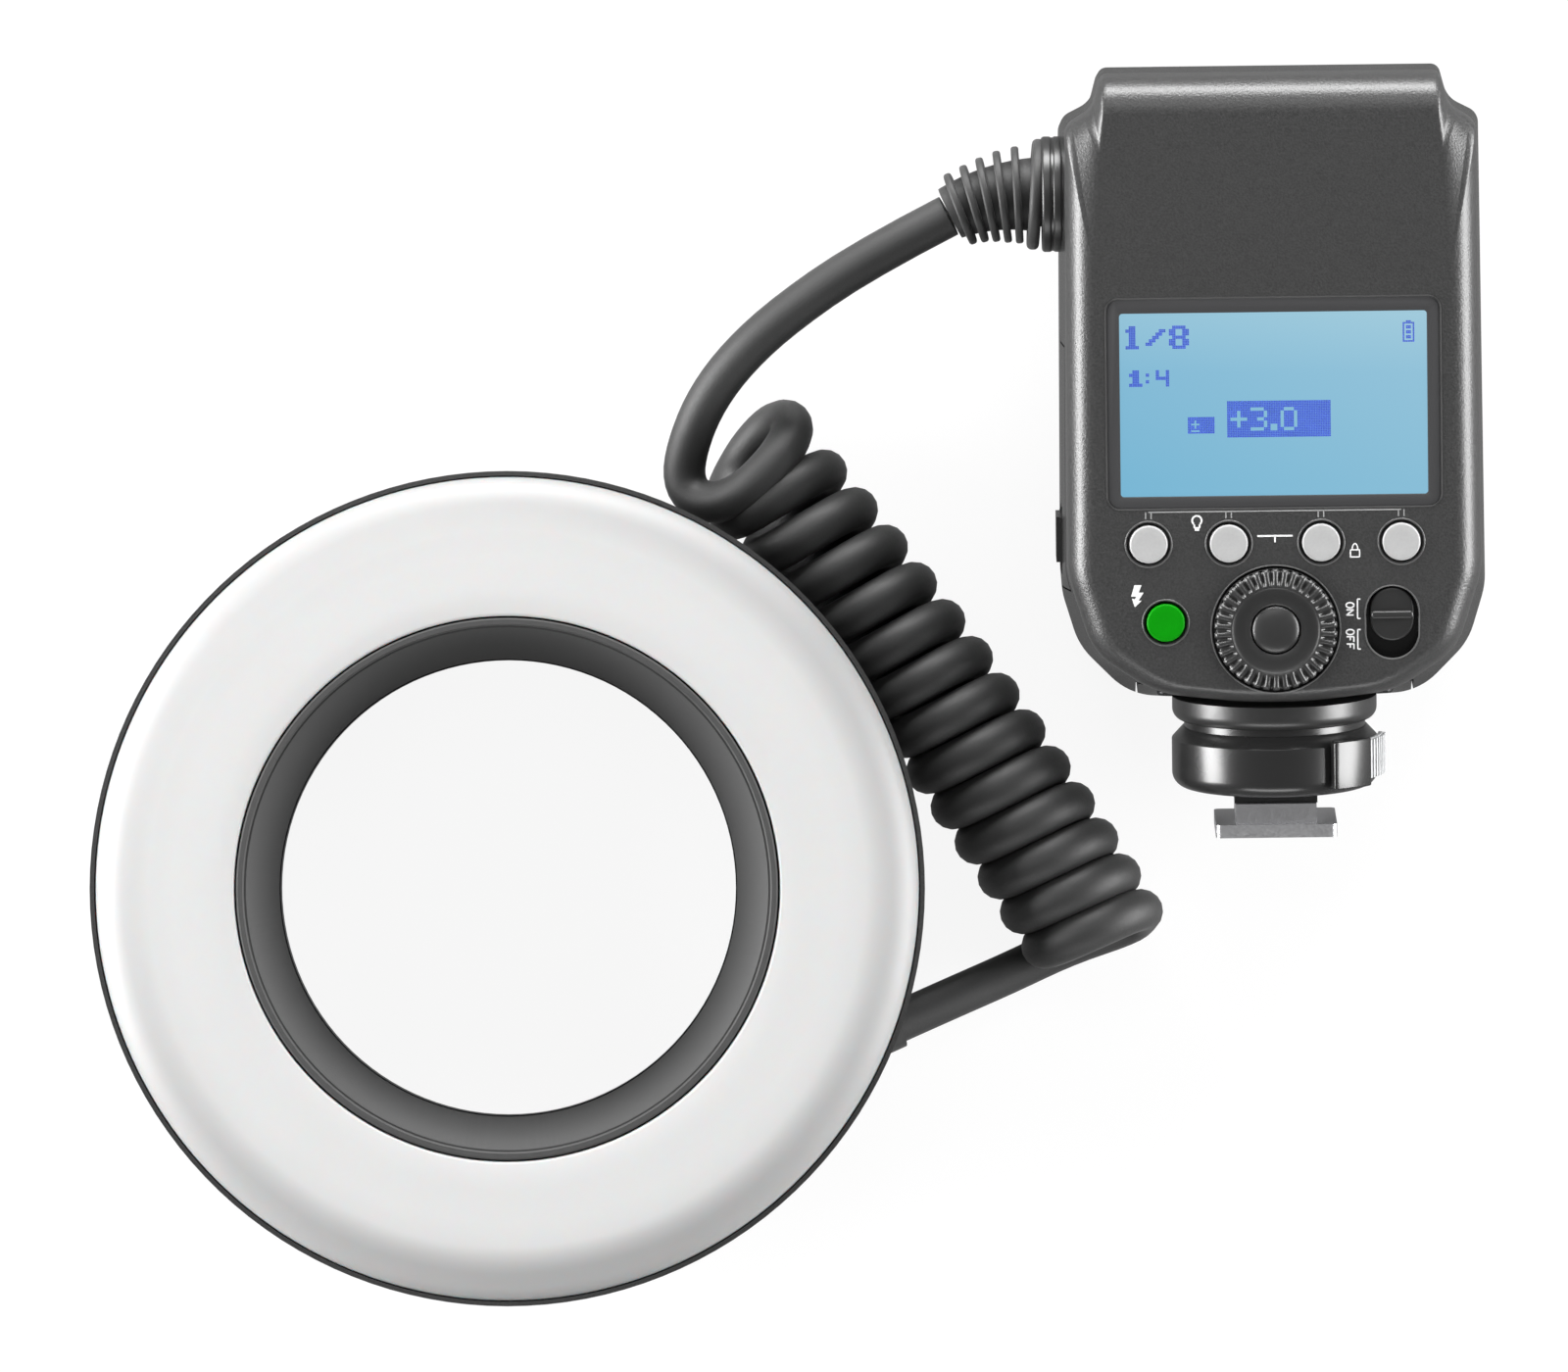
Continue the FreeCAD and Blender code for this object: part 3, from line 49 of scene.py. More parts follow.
bpy.ops.object.camera_add(location=(*VIEW_CENTRE, VIEW_PLANE + LENS_DISTANCE), rotation=(0, 0, 0))
camera = bpy.context.object
camera.data.lens = camera.data.sensor_width * LENS_DISTANCE / VIEW_WIDTH
camera.data.clip_end = 3 * LENS_DISTANCE
bpy.context.scene.camera = camera
bpy.context.scene.view_settings.view_transform = "Standard"


# The studio. A white paper table that takes a faint shadow, and large soft boxes on both sides, at the
# hood, at the foot and overhead, whose edges show as the long soft highlights on the moulded plastic.
TABLE_SIZE = 6.0
TABLE_DROP = 0.0002
PAPER_COLOUR = "#f4f4f4"
PAPER_GLOW = 0.9
# How bright the table looks in reflections: a dim painted shade instead of its white.
PAPER_PAINTED_DIM = 0.3
ROOM_LIGHT = 0.2
AIM_HEIGHT = 0.02
SOFT_BOXES = (
    # name, place, width, length, power
    ("overhead", (-0.10, 0.80, 1.60), 1.3, 0.7, 5.0),
    ("left_strip", (-1.00, 0.06, 0.24), 0.9, 0.58, 40.0),
    ("right_strip", (1.10, 0.06, 0.24), 0.9, 0.58, 30.0),
    ("hood_strip", (0.10, 1.05, 0.30), 1.1, 0.40, 30.0),
    ("foot_strip", (0.05, -1.05, 0.45), 1.0, 0.30, 6.0),
)


def linear(colour):
    """An sRGB hex colour as linear red, green, blue and alpha."""
    parts = [int(colour[i:i + 2], 16) / 255 for i in (1, 3, 5)]
    return [p / 12.92 if p <= 0.04045 else ((p + 0.055) / 1.055) ** 2.4 for p in parts] + [1.0]


def blank(name):
    """A new material with no nodes but its output."""
    material = bpy.data.materials.new(name)
    material.use_nodes = True
    material.node_tree.nodes.clear()
    material.node_tree.nodes.new("ShaderNodeOutputMaterial")
    return material


def add(material, kind, inputs=(), **settings):
    """Adds a node with its settings; an input is a plain value or another node's output."""
    node = material.node_tree.nodes.new("ShaderNode" + kind)
    for key, value in settings.items():
        setattr(node, key, value)
    for key, value in dict(inputs).items():
        if isinstance(value, bpy.types.NodeSocket):
            material.node_tree.links.new(value, node.inputs[key])
        else:
            node.inputs[key].default_value = value
    return node


def finish_with(material, shader):
    """Sends a shader to the material's output."""
    output = material.node_tree.nodes["Material Output"]
    material.node_tree.links.new(shader.outputs[0], output.inputs["Surface"])
    return material


paper = blank("white_paper")
paper_diffuse = add(paper, "BsdfDiffuse", {"Color": linear(PAPER_COLOUR)})
paper_glow = add(paper, "Emission", {"Color": (1, 1, 1, 1), "Strength": 1.0})
ray = add(paper, "LightPath")
seen = add(paper, "Math", {
    0: ray.outputs["Is Camera Ray"], 1: ray.outputs["Is Transmission Ray"]}, operation="MAXIMUM")
seen = add(paper, "Math", {0: seen.outputs[0], 1: PAPER_GLOW}, operation="MULTIPLY")
paper_mix = add(paper, "MixShader", {
    0: seen.outputs[0], 1: paper_diffuse.outputs[0], 2: paper_glow.outputs[0]})
paper_painted_dim = add(paper, "Emission", {"Color": (1, 1, 1, 1), "Strength": PAPER_PAINTED_DIM})
# Glossy rays see the table only as a dim grey glow, a painted shade in the reflections that keeps its white
# out of the glossy sides of the body.
paper_mix = add(paper, "MixShader", {
    0: ray.outputs["Is Glossy Ray"], 1: paper_mix.outputs[0], 2: paper_painted_dim.outputs[0]})
finish_with(paper, paper_mix)

bpy.ops.mesh.primitive_plane_add(size=TABLE_SIZE, location=(*VIEW_CENTRE, -TABLE_DROP))
table = bpy.context.object
table.name = "table"
table.data.materials.append(paper)

for name, place, width, length, power in SOFT_BOXES:
    bpy.ops.object.light_add(type="AREA", location=place)
    lamp = bpy.context.object
    lamp.name = name
    lamp.data.shape = "RECTANGLE"
    lamp.data.size = width
    lamp.data.size_y = length
    lamp.data.energy = power
    aim = Vector((*VIEW_CENTRE, AIM_HEIGHT)) - Vector(place)
    lamp.rotation_euler = aim.to_track_quat("-Z", "Y").to_euler()

world = bpy.data.worlds.new("studio")
world.use_nodes = True
world.node_tree.nodes["Background"].inputs["Color"].default_value = (1, 1, 1, 1)
world.node_tree.nodes["Background"].inputs["Strength"].default_value = ROOM_LIGHT
bpy.context.scene.world = world


# The curly cord: black rubber sheath, 6.5 mm thick. It leaves the controller's strain relief, makes
# one open turn and a close coil of twelve and a half, and ends in the gland under the ring head's rim.
CORD_D = 0.0065
CORD_LEAD = [
    (0.0676, 0.1031, 0.0274), (0.0544, 0.0963, 0.0262), (0.0418, 0.0875, 0.0236), (0.0347, 0.0808, 0.0212),
    (0.0302, 0.0745, 0.0186), (0.0277, 0.0683, 0.0159),
]
FIRST_TURN = [
    (0.0268, 0.0632, 0.0145), (0.0285, 0.0598, 0.0152), (0.0322, 0.0590, 0.0174), (0.0360, 0.0606, 0.0193),
    (0.0394, 0.0636, 0.0201), (0.0422, 0.0670, 0.0190), (0.0439, 0.0702, 0.0158), (0.0432, 0.0722, 0.0115),
    (0.0405, 0.0714, 0.0072), (0.0374, 0.0682, 0.0044), (0.0352, 0.0646, 0.0036), (0.0334, 0.0610, 0.0052),
]
COIL_START = Vector((0.0403, 0.0619, 0.0112))
COIL_BEND = Vector((0.0704, 0.0259, 0.0112))
COIL_END = Vector((0.0906, -0.0076, 0.0112))
COIL_R = 0.0082
COIL_TURNS = 12.5
TURN_POINTS = 14
CORD_TAIL = [
    (0.0860, -0.0089, 0.0034), (0.0770, -0.0132, 0.0040), (0.0680, -0.0171, 0.0062),
    (0.0590, -0.0211, 0.0083)]
RUBBER_GRAIN = 0.00035

rubber = blank("moulded_black_rubber")
# Grain and slight colour variation at the size of the mould's texture; dull, with a soft sheen.
place = add(rubber, "TexCoord").outputs["Object"]
grain = add(rubber, "TexNoise", {"Vector": place, "Scale": 1 / RUBBER_GRAIN, "Detail": 3.0})
cloud = add(rubber, "TexNoise", {"Vector": place, "Scale": 90.0, "Detail": 2.0})
dull = add(rubber, "ValToRGB", {"Fac": cloud.outputs["Fac"]})
dull.color_ramp.elements[0].color = linear("#161616")
dull.color_ramp.elements[1].color = linear("#222222")
rough = add(rubber, "MapRange", {"Value": grain.outputs["Fac"], "To Min": 0.5, "To Max": 0.68})
bump = add(rubber, "Bump", {"Height": grain.outputs["Fac"], "Strength": 0.35, "Distance": 0.00008})
rubber_skin = add(rubber, "BsdfPrincipled", {
    "Base Color": dull.outputs["Color"], "Roughness": rough.outputs["Result"],
    "Normal": bump.outputs["Normal"], "Sheen Weight": 0.06, "Sheen Roughness": 0.5, "IOR": 1.5})
finish_with(rubber, rubber_skin)

route = list(CORD_LEAD) + list(FIRST_TURN)
for i in range(int(COIL_TURNS * TURN_POINTS) + 3):
    share = i / (COIL_TURNS * TURN_POINTS)
    centre = ((1 - share) ** 2 * COIL_START + 2 * share * (1 - share) * COIL_BEND + share ** 2 * COIL_END)
    along = ((1 - share) * (COIL_BEND - COIL_START) + share * (COIL_END - COIL_BEND)).normalized()
    across = Vector((-along.y, along.x, 0))
    angle = pi - 2 * pi * i / TURN_POINTS
    route.append(centre + COIL_R * (cos(angle) * across + sin(angle) * Vector((0, 0, 1))))
route += CORD_TAIL

cord_line = bpy.data.curves.new("curly_cord", "CURVE")
cord_line.dimensions = "3D"
cord_line.bevel_depth = CORD_D / 2
cord_line.bevel_resolution = 6
cord_line.resolution_u = 4
cord_line.use_fill_caps = True
spline = cord_line.splines.new("NURBS")
spline.points.add(len(route) - 1)
for point, spot in zip(spline.points, route):
    point.co = (*spot, 1.0)
spline.order_u = 3
spline.use_endpoint_u = True
curly_cord = bpy.data.objects.new("curly_cord", cord_line)
bpy.context.scene.collection.objects.link(curly_cord)
curly_cord.data.materials.append(rubber)
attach(curly_cord, "flash")
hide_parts("cord_lead", "cord_coil", "cord_tail")


# The ring head's diffuser: opal acrylic, moulded as one ring with a broad rounded shoulder. It is bright and
# even in front, and painted greyer where it turns down to the rim, a painted shade on the shoulder.
HEAD_FRONT = 31.0
DIFFUSER_R = 63.25
DIFFUSER_INNER = 41.75
SHOULDER_WIDTH = 8.5
SHOULDER_DROP = 5.2
DIFFUSER_SEAT = 24.3
DIFFUSER_T = 2.0
DIFFUSER_EDGE = 0.5
FLAT_RS = (52.0, 46.0)
PAINTED_SHADE_RADII = (0.0410, 0.0635)
# Colours out from the hole: even across the front, then darker over the shoulder as painted shade.
OPAL_PAINTED_SHADE = (
    # share of the way from the hole to the rim, colour
    (0.0, "#a2a2a2"), (0.06, "#a8a8a8"), (0.45, "#a9a9a9"), (0.62, "#a6a6a6"), (0.8, "#8e8e8e"))
OPAL_RIM_PAINTED_SHADE = "#828282"
IN_METRES = Matrix.Scale(0.001, 4)


def spun(name, profile, steps=192):
    """A turned piece in millimetres: a circle's corners are set out on a closed profile (r, z) and spun."""
    bpy.ops.object.select_all(action="DESELECT")
    bpy.ops.mesh.primitive_circle_add(vertices=len(profile))
    piece = bpy.context.object
    piece.name = name
    for corner, (r, z) in zip(piece.data.vertices, profile):
        corner.co = (r, 0, z)
    bpy.ops.object.mode_set(mode="EDIT")
    bpy.ops.mesh.select_all(action="SELECT")
    bpy.ops.mesh.spin(steps=steps, angle=2 * pi, center=(0, 0, 0), axis=(0, 0, 1))
    bpy.ops.mesh.select_all(action="SELECT")
    bpy.ops.mesh.remove_doubles(threshold=0.0005)
    bpy.ops.mesh.delete_loose(use_faces=False)
    bpy.ops.mesh.select_all(action="SELECT")
    bpy.ops.mesh.normals_make_consistent(inside=False)
    bpy.ops.object.mode_set(mode="OBJECT")
    return piece


def arc(r, z, size_r, size_z, start, end, count):
    """Points of a quarter or more of an ellipse about (r, z), with angles in degrees."""
    turns = [radians(start + (end - start) * i / count) for i in range(count + 1)]
    return [(r + size_r * cos(t), z + size_z * sin(t)) for t in turns]


def seat(piece, where, material, body, stands_for=(), crease=30):
    """Puts a piece that was drawn in millimetres in its place, with its finish, on its body."""
    piece.data.transform(where @ piece.matrix_world)
    piece.matrix_world = Matrix.Identity(4)
    piece.data.materials.clear()
    piece.data.materials.append(material)
    bpy.ops.object.select_all(action="DESELECT")
    piece.select_set(True)
    bpy.context.view_layer.objects.active = piece
    bpy.ops.object.shade_smooth_by_angle(angle=radians(crease))
    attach(piece, body)
    if stands_for:
        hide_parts(*stands_for)
    return piece


opal = blank("opal_acrylic")
# Milky, with a satin face; the grey near the rim is painted shade on the shoulder, where it turns down.
spot = add(opal, "TexCoord").outputs["Object"]
flat_spot = add(opal, "VectorMath", {0: spot, 1: (1, 1, 0)}, operation="MULTIPLY")
radius = add(opal, "VectorMath", {0: flat_spot.outputs[0]}, operation="LENGTH")
opal_painted_shade = add(opal, "ValToRGB", {"Fac": add(opal, "MapRange", {
    "Value": radius.outputs["Value"], "From Min": PAINTED_SHADE_RADII[0],
    "From Max": PAINTED_SHADE_RADII[1]}).outputs["Result"]})
for position, colour in OPAL_PAINTED_SHADE:
    element = opal_painted_shade.color_ramp.elements.new(position)
    element.color = linear(colour)
opal_painted_shade.color_ramp.elements[-1].color = linear(OPAL_RIM_PAINTED_SHADE)
opal_painted_shade.color_ramp.elements.remove(opal_painted_shade.color_ramp.elements[0])
cloud = add(opal, "TexNoise", {"Vector": spot, "Scale": 60.0, "Detail": 2.0})
satin = add(opal, "MapRange", {"Value": cloud.outputs["Fac"], "To Min": 0.46, "To Max": 0.56})
finish_with(opal, add(opal, "BsdfPrincipled", {
    "Base Color": opal_painted_shade.outputs["Color"], "Roughness": satin.outputs["Result"], "IOR": 1.49,
    "Subsurface Weight": 0.25, "Subsurface Scale": 0.003}))

shoulder = arc(DIFFUSER_R - SHOULDER_WIDTH, HEAD_FRONT - SHOULDER_DROP, SHOULDER_WIDTH, SHOULDER_DROP,
               0, 90, 14)
inner_edge = arc(DIFFUSER_INNER + DIFFUSER_EDGE, HEAD_FRONT - DIFFUSER_EDGE, DIFFUSER_EDGE, DIFFUSER_EDGE,
                 90, 180, 4)
inside = [(DIFFUSER_INNER, DIFFUSER_SEAT), (DIFFUSER_INNER + DIFFUSER_T, DIFFUSER_SEAT),
          (DIFFUSER_INNER + DIFFUSER_T, HEAD_FRONT - DIFFUSER_T),
          (DIFFUSER_R - SHOULDER_WIDTH, HEAD_FRONT - DIFFUSER_T),
          (DIFFUSER_R - DIFFUSER_T, HEAD_FRONT - SHOULDER_DROP), (DIFFUSER_R - DIFFUSER_T, DIFFUSER_SEAT)]
diffuser = spun("front_diffuser", [(DIFFUSER_R, DIFFUSER_SEAT)] + shoulder
                + [(r, HEAD_FRONT) for r in FLAT_RS] + inner_edge + inside)
seat(diffuser, IN_METRES, opal, "flash", ["ring_diffuser"])


# The baffle in the head's hole: moulded black ABS with fine turned grooves that stop stray reflections,
# and a plain lip round its front edge.
BAFFLE_FRONT_R = 41.5
BAFFLE_REAR_R = 35.2
BAFFLE_REAR_Z = 10.7
BAFFLE_WALL = 1.2
LIP_WIDTH = 1.15
LIP_GROOVE = 0.35
LIP_EDGE = 0.25
LIP_INNER_EDGE = 0.2
LIP_DROP = 1.0
RIDGES = 34
RIDGE_DEPTH = 0.13
RIDGE_LIP = 0.04


def mottled(name, dark, light, scale, rough, detail=2.0, **more):
    """A material whose colour wanders between two tones; a pair of roughnesses wanders along with it."""
    material = blank(name)
    spot = add(material, "TexCoord").outputs["Object"]
    speck = add(material, "TexNoise", {"Vector": spot, "Scale": scale, "Detail": detail})
    tint = add(material, "ValToRGB", {"Fac": speck.outputs["Fac"]})
    tint.color_ramp.elements[0].color = linear(dark)
    tint.color_ramp.elements[1].color = linear(light)
    if isinstance(rough, tuple):
        low, high = rough
        rough = add(material, "MapRange", {
            "Value": speck.outputs["Fac"], "To Min": low, "To Max": high}).outputs["Result"]
    inputs = {"Base Color": tint.outputs["Color"], "Roughness": rough, **more}
    return finish_with(material, add(material, "BsdfPrincipled", inputs))


ridged = mottled("grooved_black_abs", "#222222", "#303030", 900.0, (0.62, 0.78), 3.0, IOR=1.53)

lip_r = BAFFLE_FRONT_R - LIP_WIDTH
cone_r = lip_r - LIP_GROOVE
cone_z = HEAD_FRONT - LIP_DROP
pitch = (cone_z - BAFFLE_REAR_Z) / RIDGES
profile = [(BAFFLE_FRONT_R, BAFFLE_REAR_Z + 1), (BAFFLE_FRONT_R, HEAD_FRONT - LIP_EDGE),
           (BAFFLE_FRONT_R - LIP_EDGE, HEAD_FRONT), (lip_r + LIP_INNER_EDGE, HEAD_FRONT),
           (lip_r, HEAD_FRONT - LIP_INNER_EDGE), (lip_r - 0.05, cone_z)]
for i in range(RIDGES):
    r = cone_r + (BAFFLE_REAR_R - cone_r) * i / RIDGES
    z = cone_z - pitch * i
    profile += [(r, z), (r - RIDGE_LIP, z - pitch * 0.45), (r + RIDGE_DEPTH, z - pitch * 0.55)]
profile += [(BAFFLE_REAR_R, BAFFLE_REAR_Z), (BAFFLE_REAR_R + BAFFLE_WALL, BAFFLE_REAR_Z),
            (BAFFLE_FRONT_R - BAFFLE_WALL - 0.4, HEAD_FRONT - 5),
            (BAFFLE_FRONT_R - BAFFLE_WALL, BAFFLE_REAR_Z + 1)]
baffle = spun("hole_baffle", profile)
seat(baffle, IN_METRES, ridged, "flash", ["ring_baffle"])


# The controller's own frame: u to the right, v up from the foot's underside, w out of the panel. It
# lies on the edge of its wedge-shaped front, so it leans back a little, and it is turned slightly.
FOOT = Vector((0.1179, 0.00905, 0.0170))
LEAN = radians(8.0)
TURN = radians(0.7)
ON_CONTROLLER = (Matrix.Translation(FOOT) @ Matrix.Rotation(TURN, 4, "Z") @ Matrix.Rotation(LEAN, 4, "X")
                 @ IN_METRES)


# The rear cover: one ABS moulding with a spark-eroded satin skin. Its flat panel rolls over to the
# sides, narrowly at the hood and broadly further down, which gives the two long highlights.
BODY_HALF = 32.5
BODY_BASE = 19.9
BODY_TOP = 118.1
HOOD_HALF = 25.9
PANEL_W = 18.0
SPLIT_W = 8.0
COVER_STEP = 0.8
ROLL_W = 5.5
ROLL_SIDE = 4.3
ROLL_HOOD = 0.5
ROLL_TOP = 5.3
ROLL_BASE = 2.6
COVER_WALL = 1.8
ROLL_STEPS = 12
WINDOW_V = 68.4
WINDOW_WIDTH = 51.3
WINDOW_HEIGHT = 32.6
WINDOW_CORNER = 2.1
KEY_V = 46.8
KEY_U = (-19.3, -7.05, 7.05, 19.3)
TEST_AT = (-16.8, 34.7)
WELL_R = 3.6
DIAL_V = 33.5
DIAL_WELL_R = 9.95
SWITCH_AT = (17.8, 34.4)
SWITCH_WELL = (8.4, 11.5)
KEY_PLACES = [(u, KEY_V) for u in KEY_U] + [TEST_AT]
CUT = (PANEL_W - 4, PANEL_W + 2)

textured = blank("spark_eroded_black_abs")
# The mould's fine texture breaks the highlights into a soft satin; it is drawn 0.3 mm coarse to show.
place = add(textured, "TexCoord").outputs["Object"]
grit = add(textured, "TexNoise", {"Vector": place, "Scale": 3000.0, "Detail": 2.0})
tint = add(textured, "ValToRGB", {"Fac": grit.outputs["Fac"]})
tint.color_ramp.elements[0].color = linear("#181818")
tint.color_ramp.elements[1].color = linear("#3c3c3c")
satin = add(textured, "MapRange", {"Value": grit.outputs["Fac"], "To Min": 0.3, "To Max": 0.43})
tooth = add(textured, "Bump", {"Height": grit.outputs["Fac"], "Strength": 0.6, "Distance": 0.00008})
finish_with(textured, add(textured, "BsdfPrincipled", {
    "Base Color": tint.outputs["Color"], "Roughness": satin.outputs["Result"],
    "Normal": tooth.outputs["Normal"], "IOR": 1.53}))


def outline(corners, steps=8):
    """Points round an outline of corners (x, y, radius), with an arc of equal steps at each corner."""
    points = []
    for i, (x, y, radius) in enumerate(corners):
        corner = Vector((x, y))
        before = (Vector(corners[i - 1][:2]) - corner).normalized()
        after = (Vector(corners[(i + 1) % len(corners)][:2]) - corner).normalized()
        half = before.angle(after) / 2
        centre = corner + (before + after).normalized() * radius / sin(half)
        start = corner + before * radius / tan(half) - centre
        end = corner + after * radius / tan(half) - centre
        sweep = start.angle_signed(end)
        for k in range(steps + 1):
            turn = -sweep * k / steps
            points.append(centre + Matrix.Rotation(turn, 2) @ start)
    return points


def mirrored(half, base):
    """Corners of a whole outline from its right half, hood first, and the middle of its base."""
    return [(-u, v, r) for u, v, r in half] + [(0.0, base, 80.0)] + half[::-1]


def drawn(name, rings, ends=True):
    """A solid extruded ring by ring; its ends are filled, or without ends the last ring is the first."""
    bpy.ops.object.select_all(action="DESELECT")
    bpy.ops.mesh.primitive_circle_add(vertices=len(rings[0]))
    piece = bpy.context.object
    piece.name = name
    bpy.ops.object.mode_set(mode="EDIT")
    bpy.ops.mesh.select_all(action="SELECT")
    mesh = bmesh.from_edit_mesh(piece.data)
    number = mesh.verts.layers.int.new("number")
    for i, corner in enumerate(mesh.verts):
        corner[number] = i
    if ends:
        bpy.ops.mesh.edge_face_add()
    for i, ring in enumerate(rings):
        if i:
            bpy.ops.mesh.extrude_edges_move()
        mesh = bmesh.from_edit_mesh(piece.data)
        number = mesh.verts.layers.int["number"]
        for corner in mesh.verts:
            if corner.select:
                corner.co = ring[corner[number]]
    bmesh.update_edit_mesh(piece.data)
    if ends:
        bpy.ops.mesh.edge_face_add()
    bpy.ops.mesh.select_all(action="SELECT")
    bpy.ops.mesh.remove_doubles(threshold=0.0001)
    bpy.ops.mesh.normals_make_consistent(inside=False)
    bpy.ops.object.mode_set(mode="OBJECT")
    return piece


def applied(piece, kind, **settings):
    """Adds a modifier with its settings and applies it."""
    bpy.ops.object.select_all(action="DESELECT")
    piece.select_set(True)
    bpy.context.view_layer.objects.active = piece
    modifier = piece.modifiers.new(kind.lower(), kind)
    for key, value in settings.items():
        setattr(modifier, key, value)
    bpy.ops.object.modifier_apply(modifier=modifier.name)
    return piece


def cut_by(piece, cutters, operation="DIFFERENCE"):
    """Cuts a piece by others, which are used up."""
    for cutter in cutters:
        applied(piece, "BOOLEAN", object=cutter, operation=operation, solver="EXACT")
        bpy.data.objects.remove(cutter)
    return piece


def post(radius, u, v, low, high, sides=64):
    """A plain cylinder along w, for a cut."""
    bpy.ops.mesh.primitive_cylinder_add(vertices=sides, radius=radius, depth=high - low,
                                        location=(u, v, (low + high) / 2))
    return bpy.context.object


def plate(corners, low, high, steps=8):
    """A closed plate of an outline between two heights."""
    points = outline(corners, steps)
    return drawn("plate", [[(x, y, low) for x, y in points], [(x, y, high) for x, y in points]])


def rounded(width, height, radius, u=0.0, v=0.0):
    """Corners of a rectangle with rounded corners."""
    x, y = width / 2, height / 2
    return [(u - x, v - y, radius), (u - x, v + y, radius), (u + x, v + y, radius), (u + x, v - y, radius)]


def cover_corners(inset=0.0):
    """The rear cover's outline where it meets the front cover, drawn in by an inset."""
    side = BODY_HALF - COVER_STEP - inset
    base = BODY_BASE + 1.2 + inset
    top = BODY_TOP - inset
    hood = HOOD_HALF - inset
    return mirrored([
        (hood, top, 1.5), (hood + 1.4, top - 5.2, 4.0), (side - 0.3, top - 7.8, 2.5),
        (side, base + 20.6, 14.0), (side - 3.8, base + 8.5, 10.0), (side - 13.2, base + 2.1, 16.0)], base)


def panel_corners(inset=0.0):
    """The outline of the flat panel, where the cover's edge starts to roll over."""
    side = BODY_HALF - COVER_STEP - ROLL_SIDE - inset
    base = BODY_BASE + 1.2 + ROLL_BASE + inset
    top = BODY_TOP - ROLL_TOP - inset
    hood = HOOD_HALF - ROLL_HOOD - inset
    return mirrored([
        (hood, top, 1.0), (hood + 0.7, top - 6.7, 10.0), (side - 0.5, top - 24.7, 30.0),
        (side, base + 18.4, 11.0), (side - 3.0, base + 8.0, 9.0), (side - 11.4, base + 2.0, 14.0)], base)


cover_edge = outline(cover_corners(), 12)
panel_edge = outline(panel_corners(), 12)
rings = [[(p.x, p.y, SPLIT_W) for p in cover_edge]]
for i in range(ROLL_STEPS + 1):
    turn = radians(90 * i / ROLL_STEPS)
    rings.append([(*p.lerp(q, 1 - cos(turn)), PANEL_W - ROLL_W + ROLL_W * sin(turn))
                  for p, q in zip(cover_edge, panel_edge)])
panel_cover = drawn("panel_cover", rings)
wall_edge = outline(cover_corners(COVER_WALL), 12)
roof_edge = [p.lerp(q, 0.4) for p, q in zip(wall_edge, outline(panel_corners(COVER_WALL), 12))]
hollow = drawn("hollow", [[(p.x, p.y, SPLIT_W - 1) for p in wall_edge],
                          [(p.x, p.y, PANEL_W - ROLL_W) for p in wall_edge],
                          [(p.x, p.y, PANEL_W - COVER_WALL) for p in roof_edge]])
cut_by(panel_cover, [hollow])
cutters = [plate(rounded(WINDOW_WIDTH, WINDOW_HEIGHT, WINDOW_CORNER, 0, WINDOW_V), *CUT),
           post(DIAL_WELL_R, 0, DIAL_V, *CUT, 128),
           plate(rounded(*SWITCH_WELL, SWITCH_WELL[0] / 2 - 0.01, *SWITCH_AT), *CUT, 16)]
for u, v in KEY_PLACES:
    cutters.append(post(WELL_R - 0.02, u, v, *CUT))
cut_by(panel_cover, cutters)
seat(panel_cover, ON_CONTROLLER, textured, "flash", ["rear_cover"], 40)


# The rounded lips of the key wells: each key sits in a dished ring whose edge is painted a paler grey, a
# painted highlight.
KEY_R = 2.9
KEY_GAP = 0.22
WELL_LOW = PANEL_W - 2.6

# A paler grey for rounded edges: painted highlight standing in for the light they catch.
painted_highlight_edge = mottled("black_abs_painted_highlight", "#3c3c3c", "#565656", 400.0, 0.28, 3.0, IOR=1.53)

for number, (u, v) in enumerate(KEY_PLACES, 1):
    well = spun(f"key_well_{number}", [
        (KEY_R + KEY_GAP, WELL_LOW), (KEY_R + KEY_GAP, PANEL_W - 0.9), (WELL_R - 0.25, PANEL_W - 0.4)]
        + arc(WELL_R - 0.08, PANEL_W - 0.05, 0.14, 0.14, 160, 0, 8) + [(WELL_R + 0.06, WELL_LOW)], 72)
    well.data.transform(Matrix.Translation((u, v, 0)))
    seat(well, ON_CONTROLLER, painted_highlight_edge, "flash")


# The keys: grey moulded ABS caps with a small rounded edge, a snap flange below and a stem. The test
# key is moulded through in green, with the same satin face.
KEY_TOP = 18.45
KEY_FACE_DROP = 0.12
KEY_EDGE = 0.3
KEY_FLANGE = (0.8, 15.55, 16.1)
KEY_STEM = (1.2, 13.7)

grey_cap = mottled("light_grey_abs", "#949494", "#9e9e9e", 2500.0, (0.4, 0.55), IOR=1.53)
green_cap = mottled("green_abs", "#007400", "#007c00", 2500.0, 0.5, IOR=1.2)

